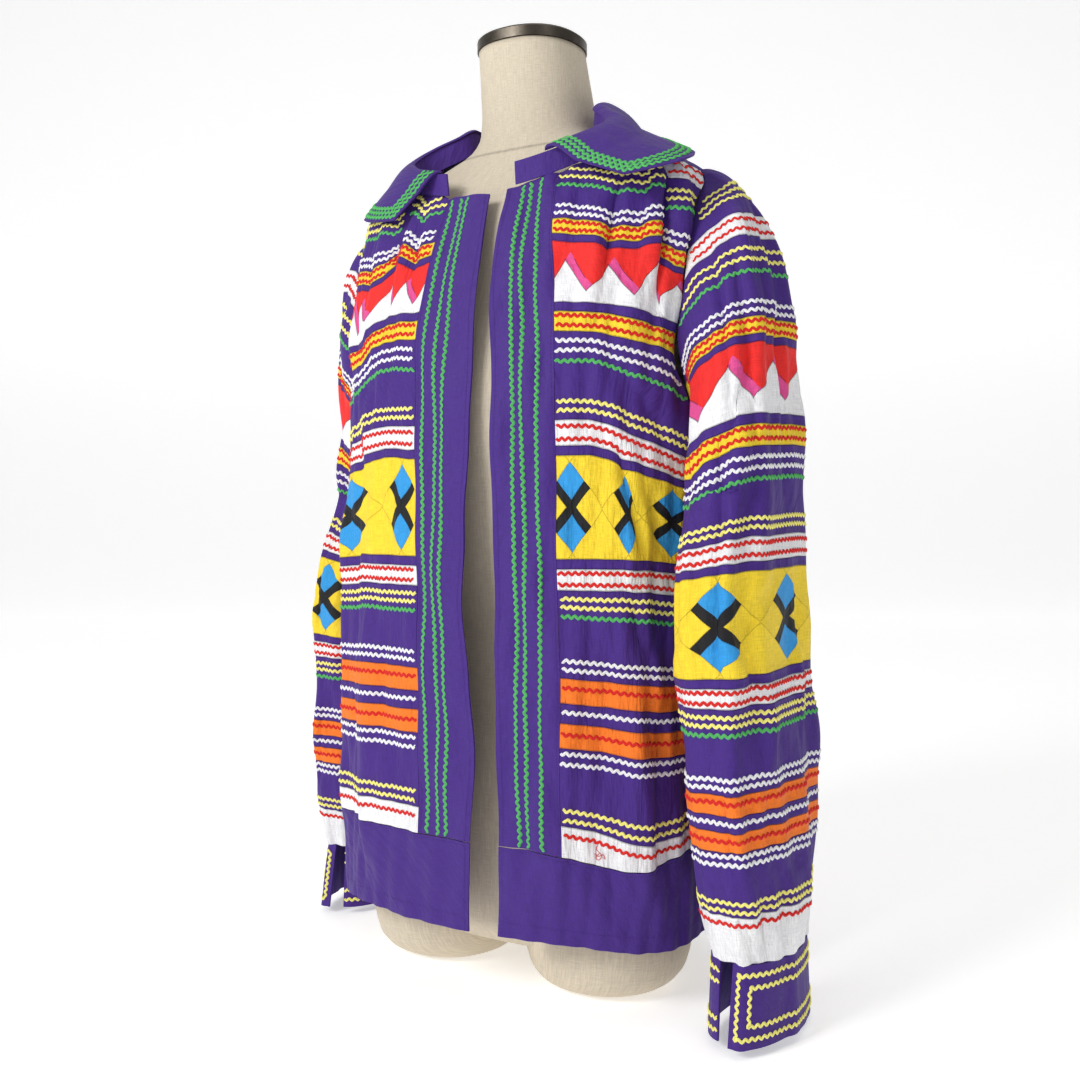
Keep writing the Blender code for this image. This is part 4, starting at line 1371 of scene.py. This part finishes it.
def patchwork_material(name):
    """Strips of cloth and pieced rows, each sewn to the next, with painted shade darkening the colour
    in the seam ditches.
    """
    graph = Graph(name, *PATCHWORK_SURFACE)
    across, up = graph.fabric()
    colour = linear("purple")
    edges = [edge for _, high, low in BODY_STRIPS for edge in (high, low)]
    seam = abs(up - edges[0])
    for edge in edges[1:]:
        seam = seam.least(abs(up - edge))
    plain = {}
    for kind, high, low in BODY_STRIPS:
        inside = (up > low) * (up < high)
        if kind == "sawtooth":
            pieced, joins = sawtooth(graph, across, up - low)
        elif kind == "diamonds":
            pieced, joins = diamonds(graph, across, up, 0.5 * (high + low))
        else:
            plain[kind] = plain[kind] + inside if kind in plain else inside
            continue
        colour = graph.mix(inside, colour, pieced)
        seam = seam.least(joins + (1.0 - inside) * NO_SEAM)
    for kind, inside in plain.items():
        colour = graph.mix(inside, colour, linear(kind))
    ditch = seam.near_zero(DITCH)
    weave = graph.woven(across, up)
    amount = (plain["yellow"] + plain["white"]) * (1 - DARK_PUCKER) + DARK_PUCKER
    pucker = graph.stretched(across, up, *PUCKER_GRAIN) * amount.most(seam.near_zero(SEAM_PUCKER))
    wide = graph.bump(graph.stretched(across, up, *PATCHWORK_GRAIN), PATCHWORK_RELIEF)
    soft = graph.bump(pucker - ditch * DITCH_DEPTH, PUCKER_RELIEF, wide)
    normal = graph.bump(weave, WEAVE_RELIEF, soft)
    shaded = graph.shaded(colour, weave, WEAVE_SHADE)
    # Painted shade: the colour darkens towards SEAM_SHADE along the seam ditches
    return graph.finish(graph.mix(ditch * DITCH_SHADE, shaded, SEAM_SHADE), normal)


def rick_material(colour):
    """Braid of fine slanting threads."""
    graph = Graph("rick_" + colour, *BRAID_SURFACE)
    threads = graph.noise(graph.place(), *BRAID_GRAIN)
    normal = graph.bump(threads, BRAID_RELIEF)
    return graph.finish(graph.shaded(linear(colour), threads, BRAID_SHADE), normal)


RICK_LOOKS = {name: rick_material(name) for name in ("lemon", "rick_red", "white", "green", "thread")}


def linen_material():
    """Coarse linen on the form, its threads level and upright, and a seam round the neck whose groove
    is bumped in and darkened with painted shade.
    """
    graph = Graph("form_linen_look", *LINEN_SURFACE)
    x, y, z = graph.split(graph.place())
    turn = graph.math("ARCTAN2", x, 0.0 - y)
    across = turn * LINEN_RADIUS_MM
    up = z * MM
    weave = (graph.woven(across, up, LINEN_THREAD_MM) - 0.5) * LINEN_CONTRAST + 0.5
    slub = graph.stretched(across, up, *LINEN_GRAIN)
    neck_seam = graph.math("COSINE", turn) * NECK_SEAM_DIP + NECK_SEAM
    ditch = abs(z - neck_seam).near_zero(NECK_SEAM_HALF)
    # The neck seam's groove lowers the bump and, as painted shade, the colour
    both = weave * (1 - SLUB_SHARE) + slub * SLUB_SHARE - ditch * NECK_SEAM_DEPTH_AND_SHADE
    normal = graph.bump(both, LINEN_RELIEF)
    return graph.finish(graph.shaded(linear("linen"), both, LINEN_SHADE), normal)


def metal_material():
    graph = Graph("cap_metal_look", CAP_ROUGHNESS)
    worn = graph.noise(graph.place(), *CAP_GRAIN)
    graph.shader["Metallic"].default_value = CAP_METAL
    return graph.finish(graph.shaded(linear("cap"), worn, CAP_SHADE), graph.bump(worn, CAP_RELIEF))


# The jacket


def lay_out(piece, node, slot, held, rests_on, *braids):
    """Makes the braids into meshes named after the node, and hides the node's part. The piece, slot,
    held and rests_on arguments are not used.
    """
    trims = [braid.make(node) for braid in braids]
    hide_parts(node)


def panel(name, angles, heights, material, place=lambda length, row: length):
    """A shell on the jacket's body. Place gives the pattern's place at a length and row."""
    heights = heights - hem_dip(angles, heights)
    rows = body_row(angles, heights)
    length = place(row_lengths(body_surface(angles, heights)), rows)
    normals = normals_of(body_cloth, angles, heights)
    return shell(name + "_cloth", body_cloth(angles, heights), normals, rows, length, material)


def grid_between(left, right, tops, size):
    """Angles and heights of a fine grid over a panel, given its edges and its tops."""
    columns, rows = (int(length / GRID_STEP) for length in size)
    across = np.linspace(0.0, 1.0, columns + 1)[None, :]
    along = 1 - (1 - np.linspace(0.0, 1.0, rows + 1)[:, None]) ** TOP_CROWD
    bottom = HEM_TOP + END_GAP
    heights = bottom + (tops(across) - bottom) * along
    gap = 0.5 * SEAM_GAP / SEAM_RADIUS
    start = left(heights) + gap
    end = right(heights) - gap
    return start + (end - start) * across, heights


def even_grid(size, start, end, low=0.0, high=1.0):
    """Values from start to end along every row, and from low to high up them."""
    columns, rows = size
    return np.meshgrid(np.linspace(start, end, columns), np.linspace(low, high, rows))


def front_grid(side, near, far, tops, size):
    """A grid from the edge near the opening to the far one, run the same way on both sides."""
    if side > 0:
        return grid_between(near, far, tops, size)
    return grid_between(far, near, lambda share: tops(1 - share), size)


def body_braid(inside, start_deg, end_deg):
    """All the rows of rickrack over one panel of the body."""
    braid = Braid()
    angles = np.radians(np.arange(start_deg, end_deg, BODY_TURN_STEP_DEG))
    heights = np.linspace(HEM_TOP - HEM_DIP, NECK_SIDE - 0.5 * TRIM_MARGIN, BODY_LEVELS)
    grid = body_row(*np.meshgrid(angles, heights))
    lowest = HEM_TOP - hem_dip(angles, HEM_TOP) + 2 * RICK_SWING
    for index, (colour, row) in enumerate(BODY_RICKS):
        found = [np.interp(row / MM, rows, heights, left=0, right=0) for rows in grid.T]
        found = np.array(found)
        steep = np.abs(np.gradient(found, angles)) > PLEAT_SLOPE
        for low, high in runs_of((found > lowest) & inside(angles, found) & ~steep):
            line, normals = outside(body_cloth, angles[low:high], found[low:high])
            braid.add(line, normals, colour, BODY_PHASE * index)
    return braid


def make_front(side, name, patchwork):
    near_top = neck_end(side, OPENING_HALF + BAND_WIDTH)

    def near(height):
        return seam_angle(side, height)

    def far(height):
        return side * side_front(height)

    def tops(share):
        return near_top + (NECK_SIDE - near_top) * share**NECK_CURVE

    def place(length, row):
        if side > 0:
            return pattern_place(length, row, LEFT_TEETH, LEFT_BLOCKS)
        return pattern_place(length[:, [-1]] - length, row, RIGHT_TEETH, RIGHT_BLOCKS)

    def inside(angle, height):
        share = (angle - near(height)) / (far(height) - near(height))
        margin = 2 * TRIM_MARGIN
        top = tops(np.clip(share, 0, 1)) - TRIM_MARGIN
        return (share > margin) & (share < 1 - margin) & (height < top)

    angles, heights = front_grid(side, near, far, tops, FRONT_SPAN)
    piece = panel(name, angles, heights, patchwork, place)
    if side > 0:
        braid = body_braid(inside, *LEFT_BRAID_DEG)
        for strand in LOOSE_THREADS:
            braid.lay_strand(strand)
    else:
        braid = body_braid(inside, *RIGHT_BRAID_DEG)
    lay_out(piece, name, "patchwork_cotton", "gathered", ["form_torso_cloth"], braid)


def make_back(patchwork):
    def far(height):
        return 2 * np.pi - gusset_back(height)

    def inside(angle, height):
        inset = BACK_INSET
        return (angle > gusset_back(height) + inset) & (angle < far(height) - inset)

    def place(length, row):
        return length - length[:, [length.shape[1] // 2]]

    angles, heights = grid_between(gusset_back, far, lambda share: NECK_SIDE + 0 * share, BACK_SPAN)
    piece = panel("back", angles, heights, patchwork, place)
    braid = body_braid(inside, *BACK_BRAID_DEG)
    lay_out(piece, "back", "patchwork_cotton", "hung", ["form_torso_cloth"], braid)


def make_band(side, name, cotton):
    """A plain strip down a front edge, with three upright rows of green."""
    near_top = neck_end(side, OPENING_HALF)
    far_top = neck_end(side, OPENING_HALF + BAND_WIDTH)

    def near(height):
        return edge_angle(side, OPENING_HALF, height)

    def far(height):
        return seam_angle(side, height)

    def tops(share):
        return near_top + (far_top - near_top) * share**NECK_CURVE

    def line(inset):
        top = float(tops(np.float64(inset / BAND_WIDTH))) - TRIM_MARGIN
        heights = np.linspace(HEM_TOP + TRIM_MARGIN, top, BRAID_LINE)
        return edge_angle(side, OPENING_HALF + inset, heights), heights

    piece = panel(name, *front_grid(side, near, far, tops, BAND_SPAN), cotton)
    braid = Braid()
    for index, inset in enumerate(BAND_RICKS[side]):
        braid.add(*outside(body_cloth, *line(inset)), "green", EDGE_PHASE * index)
    for inset in (EDGE_STITCH, BAND_WIDTH - SEAM_STITCH):
        braid.sew(*line(inset))
    lay_out(piece, name, "plain_cotton", "hung", ["form_torso_cloth"], braid)


def make_hem(cotton):
    across, heights = even_grid(HEM_GRID, 0.0, 1.0, HEM_BOTTOM, HEM_TOP)
    start = edge_angle(1, OPENING_HALF, heights)
    end = 2 * np.pi + edge_angle(-1, OPENING_HALF, heights)
    piece = panel("hem_band", start + (end - start) * across, heights, cotton)
    sewing = Braid("stitches")
    for inset in HEM_STITCHES:
        angles = np.linspace(start[-1, 0], end[-1, 0], HEM_LINE)[4:-4]
        level = HEM_TOP - inset
        sewing.sew(angles, level - hem_dip(angles, level))
    for side in (1, -1):
        heights = np.linspace(HEM_BOTTOM, HEM_TOP, EDGE_LINE)[1:-1]
        sewing.sew(edge_angle(side, OPENING_HALF + EDGE_STITCH, heights), heights)
    lay_out(piece, "hem_band", "plain_cotton", "hung", ["back_cloth"], sewing)


def make_gussets(cotton):
    grid = even_grid(GUSSET_GRID, 0.0, 1.0, GUSSET_LOW, GUSSET_HIGH)
    across, heights = (values[1:-1] for values in grid)
    gap = 0.5 * SEAM_GAP / SEAM_RADIUS
    start = side_back(heights) + gap
    angles = start + (gusset_back(heights) - gap - start) * across
    for name, made in (("gusset_left", angles), ("gusset_right", 2 * np.pi - angles[:, ::-1])):
        piece = panel(name, made, heights, cotton)
        lay_out(piece, name, "plain_cotton", "hung", ["back_cloth"])


def make_neckband(cotton):
    start = math.radians(NECKBAND_FRONT_DEG)
    angles, rise = even_grid(NECKBAND_GRID, start, 2 * np.pi - start)
    inner = neck_line(angles)
    inner[..., 2] += SEAM_GAP + NECKBAND_LIFT + rise * NECKBAND_HEIGHT
    out = neck_out(angles)
    inner = inner + out * (NECKBAND_OUT + NECKBAND_LEAN * rise)[..., None]
    up = rise * NECKBAND_HEIGHT
    piece = shell("neckband_cloth", inner, out, up, row_lengths(inner), cotton)
    lay_out(piece, "neckband", "plain_cotton", "hung", ["front_left_cloth", "back_cloth"])


def make_collar(cotton):
    start = math.radians(COLLAR_LEFT_DEG)
    end = 2 * np.pi - math.radians(COLLAR_RIGHT_DEG)
    angles, across = even_grid(COLLAR_GRID, start, end)
    inner = collar_surface(angles, across)
    reach = row_lengths(inner.transpose(1, 0, 2)).T
    grids = [inner, collar_top(angles, across)[1], reach, row_lengths(inner)]
    piece = shell("collar_cloth", *(grid[:, ::-1] for grid in grids), cotton)
    braid = Braid()
    for index, inset in enumerate(COLLAR_RICKS):
        line, normals = collar_top(*collar_path(start, end, inset))
        braid.add(line, normals, "green", EDGE_PHASE * index)
    lay_out(piece, "collar", "plain_cotton", "folded", ["neckband_cloth"], braid)


def collar_path(start, end, inset):
    """Up one front edge of the collar, along its outer edge and down the other front edge."""

    def speed(angle, across, turn, out):
        here = collar_surface(np.array([angle]), np.array([across]))
        there = collar_surface(np.array([angle + turn]), np.array([across + out]))
        return float(np.linalg.norm(there - here)) / (abs(turn) + abs(out))

    def outer(angle):
        return 1 - inset / speed(angle, COLLAR_OUTER, 0.0, COLLAR_STEP)

    def turned_in(edge, way):
        """How far in from a front edge the line lies, and the shares of the collar there."""
        shares = np.linspace(COLLAR_BRAID_START, 1.0, COLLAR_EDGE_LINE)
        step = way * COLLAR_TURN
        turns = np.array([inset / speed(edge, share, step, 0.0) for share in shares])
        kept = shares < outer(edge)
        return edge + way * turns[kept], shares[kept]

    up, up_shares = turned_in(start, 1)
    down, down_shares = turned_in(end, -1)
    between = np.linspace(up[-1], down[-1], COLLAR_OUTER_LINE)
    angles = np.concatenate([up, between, down[::-1]])
    middle = np.array([outer(angle) for angle in between])
    return angles, np.concatenate([up_shares, middle, down_shares[::-1]])


def make_sleeve(side, name, patchwork):
    columns, upper, lower = SLEEVE_GRID
    steps = np.concatenate([np.linspace(0.0, 1.0, upper), np.linspace(1.0, 2.0, lower)[1:]])
    ring = np.linspace(np.pi, 3 * np.pi, columns)
    turns, along = np.meshgrid(ring, steps)
    cloth = sleeve_cloth(side)
    inner = cloth(turns, along)
    normals = sleeve_normals(cloth, turns, along)
    rows = sleeve_rows(sleeve_point(side, turns, along), turns)
    length = row_lengths(inner)
    share = (length / length[:, [-1]]).mean(axis=0, keepdims=True)
    grids = [inner, normals, rows, sleeve_place(1 - share if side > 0 else share, rows)]
    if side < 0:
        grids = other_side(grids)
    piece = shell(name + "_cloth", *grids, patchwork, closed=True)
    braid = Braid()
    for index, (colour, row) in enumerate(BODY_RICKS):
        places = np.full(len(ring), -1.0)
        for k, levels in enumerate(rows[::-1].T):
            if levels[0] < row / MM < levels[-1]:
                places[k] = np.interp(row / MM, levels, steps[::-1])
        first, last = SLEEVE_BRAID_ENDS
        for low, high in runs_of((places > first) & (places < last)):
            fine = np.linspace(ring[low], ring[high - 1], 4 * (high - low))
            at = np.interp(fine, ring[low:high], places[low:high])
            line = grid_read(inner + normals * WALL, ring, steps, fine, at)
            outward = unit(grid_read(normals, ring, steps, fine, at))
            if side < 0:
                line, outward = (line * FLIP)[::-1], (outward * FLIP)[::-1]
            braid.add(line, outward, colour, SLEEVE_PHASE * index)
    lay_out(piece, name, "patchwork_cotton", "hung", ["back_cloth"], braid)


def make_cuff(side, name, cotton):
    gap = math.radians(CUFF_GAP_DEG)
    start = math.radians(CUFF_OPEN_DEG) - gap
    end = start - 2 * np.pi + gap
    turns, rise = even_grid(CUFF_GRID, end, start)

    def surface(turn, share):
        return cuff_point(side, turn, share)

    inner = surface(turns, rise)
    length = row_lengths(inner)
    grids = [inner, normals_of(surface, turns, rise), -rise * CUFF_HEIGHT, length]
    if side < 0:
        grids = other_side(grids)
    piece = shell(name + "_cloth", *grids, cotton)
    braid = Braid()
    for index, inset in enumerate(CUFF_RICKS):
        share = inset / CUFF_HEIGHT
        turn_in = start - (start - end) * inset / float(length[0, -1])
        top = np.linspace(end + CUFF_BRAID_START, turn_in, BRAID_LINE)
        down = np.linspace(share, 1 - share, CUFF_DOWN_LINE)
        line_turns = np.concatenate([top, turn_in + 0 * down, top[::-1]])
        line_rise = np.concatenate([share + 0 * top, down, 1 - share + 0 * top])
        line, outward = outside(surface, line_turns, line_rise)
        if side < 0:
            line, outward = line * FLIP, outward * FLIP
        braid.add(line, outward, "lemon", EDGE_PHASE * index)
    sleeve = name.replace("cuff", "sleeve") + "_cloth"
    lay_out(piece, name, "plain_cotton", "hung", [sleeve], braid)


# The form


def ring_solid(name, rings, material):
    """A closed mesh through rings of points, with a cap at both ends."""
    rows, sides = rings.shape[:2]
    ring = np.arange(sides)
    quad = np.stack([ring, (ring + 1) % sides, (ring + 1) % sides + sides, ring + sides], -1)
    faces = [face for i in range(rows - 1) for face in (quad + i * sides).tolist()]
    faces += [ring[::-1].tolist(), (ring + (rows - 1) * sides).tolist()]
    return link_mesh(name, rings.reshape(-1, 3), faces, [material])


def join_stump(torso, side, turns, linen):
    levels = np.linspace(0.0, STUMP_JOIN, STUMP_LINE)[:, None]
    sizes = smooth_read(STUMP_LEVELS, STUMP_SIZES, levels)
    depth = STUMP_HALF_Y * sizes
    x, y = oval(turns, STUMP_HALF_X * sizes, depth, depth, STUMP_POWER)
    points = np.stack([x + side * STUMP_CENTRE_X, y + STUMP_CENTRE_Y, levels + 0 * x], -1)
    stump = ring_solid("stump", points, linen)
    join = torso.modifiers.new("stump", "BOOLEAN")
    join.operation = "UNION"
    join.object = stump
    bpy.context.view_layer.objects.active = torso
    with bpy.context.temp_override(object=torso, active_object=torso):
        bpy.ops.object.modifier_apply(modifier=join.name)
    bpy.data.objects.remove(stump)


def stands_for(piece, node):
    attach(piece, "root")
    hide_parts(node)


def make_form(linen, metal):
    columns, rows = FORM_GRID
    turns = np.linspace(0.0, 2 * np.pi, columns, endpoint=False)[None, :]
    rings = form_point(turns, np.linspace(TORSO_FIRST, CAP_BOTTOM - SEAM_GAP, rows)[:, None])
    base = rings[:1] * np.array([TORSO_BASE_X, TORSO_BASE_Y, 0.0])
    base[..., 2] = TORSO_BOTTOM
    torso = ring_solid("form_torso_cloth", np.concatenate([base, rings]), linen)
    for side in (-1, 1):
        join_stump(torso, side, turns, linen)
    stands_for(torso, "form_torso")
    centre = np.array([0.0, body_read("centre_y", CAP_BOTTOM), CAP_BOTTOM])
    around = form_point(turns, CAP_BOTTOM + 0 * turns) - centre
    rings = []
    for rise, proud in CAP_PROFILE:
        grown = 1 + proud / np.hypot(around[..., 0], around[..., 1])
        rings.append(centre + around * grown[..., None] + np.array([0.0, 0.0, rise]))
    cap = ring_solid("form_neck_cap_metal", np.concatenate(rings), metal)
    cap.data.set_sharp_from_angle(angle=math.radians(CAP_SHARP_DEG))
    stands_for(cap, "form_neck_cap")


# Floor, light and camera


def make_stage():
    """A pale floor that turns up into a wall behind the object."""
    turn = np.linspace(0.0, np.pi / 2, FLOOR_STEPS)
    depths = FLOOR_BACK + FLOOR_RADIUS * np.sin(turn)
    depths = np.concatenate([[-FLOOR_HALF], depths, depths[-1:]])
    heights = np.concatenate([[0.0], FLOOR_RADIUS * (1 - np.cos(turn)), [WALL_TOP]])
    points = [(x, *place) for place in zip(depths, heights) for x in (-FLOOR_HALF, FLOOR_HALF)]
    faces = strip_faces(len(depths), 2, turned=False).tolist()
    graph = Graph("floor_look", FLOOR_ROUGHNESS)
    graph.shader["Base Color"].default_value = FLOOR_GREY
    graph.shader["Emission Color"].default_value = WHITE_LIGHT
    graph.shader["Emission Strength"].default_value = FLOOR_GLOW
    floor = link_mesh("floor", np.array(points) - [0.0, SHIFT_Y, 0.0], faces, [graph.material])
    floor.rotation_euler[2] = math.radians(CAMERA_TURN_DEG)


def make_lights():
    for name, (place, aim, size, power) in LAMPS.items():
        data = bpy.data.lights.new(name, "AREA")
        data.shape = "RECTANGLE"
        data.size, data.size_y = size
        data.energy = power
        lamp = bpy.data.objects.new(name, data)
        lamp.location = place
        lamp.rotation_euler = (Vector(aim) - Vector(place)).to_track_quat("-Z", "Y").to_euler()
        bpy.context.scene.collection.objects.link(lamp)
    world = bpy.data.worlds.new("studio")
    world.use_nodes = True
    inputs = world.node_tree.nodes["Background"].inputs
    inputs["Color"].default_value = WHITE_LIGHT
    inputs["Strength"].default_value = WORLD_LIGHT
    bpy.context.scene.world = world
    bpy.context.scene.view_settings.view_transform = "Standard"


def make_camera():
    turn = math.radians(CAMERA_TURN_DEG)
    data = bpy.data.cameras.new("camera")
    data.sensor_width = SENSOR_MM
    data.lens = FOCAL_PIXELS * SENSOR_MM / IMAGE_SIZE
    data.shift_y = (HORIZON_ROW - IMAGE_SIZE / 2) / IMAGE_SIZE
    camera = bpy.data.objects.new("camera", data)
    back = Vector((math.sin(turn), -math.cos(turn), 0.0))
    camera.location = Vector((0.0, CAMERA_AXIS_Y, CAMERA_HEIGHT)) + back * CAMERA_DISTANCE
    camera.rotation_euler = (-back).to_track_quat("-Z", "Y").to_euler()
    bpy.context.scene.collection.objects.link(camera)
    bpy.context.scene.camera = camera


def main():
    cotton = plain_material("plain_cotton_look", "purple")
    patchwork = patchwork_material("patchwork_look")
    sides = {"left": 1, "right": -1}
    make_form(linen_material(), metal_material())
    for hand, side in sides.items():
        make_band(side, "front_band_" + hand, cotton)
    for hand, side in sides.items():
        make_front(side, "front_" + hand, patchwork)
    make_back(patchwork)
    make_gussets(cotton)
    make_hem(cotton)
    make_neckband(cotton)
    make_collar(cotton)
    for hand, side in sides.items():
        make_sleeve(side, "sleeve_" + hand, patchwork)
        make_cuff(side, "cuff_" + hand, cotton)
    make_stage()
    make_lights()
    make_camera()


main()
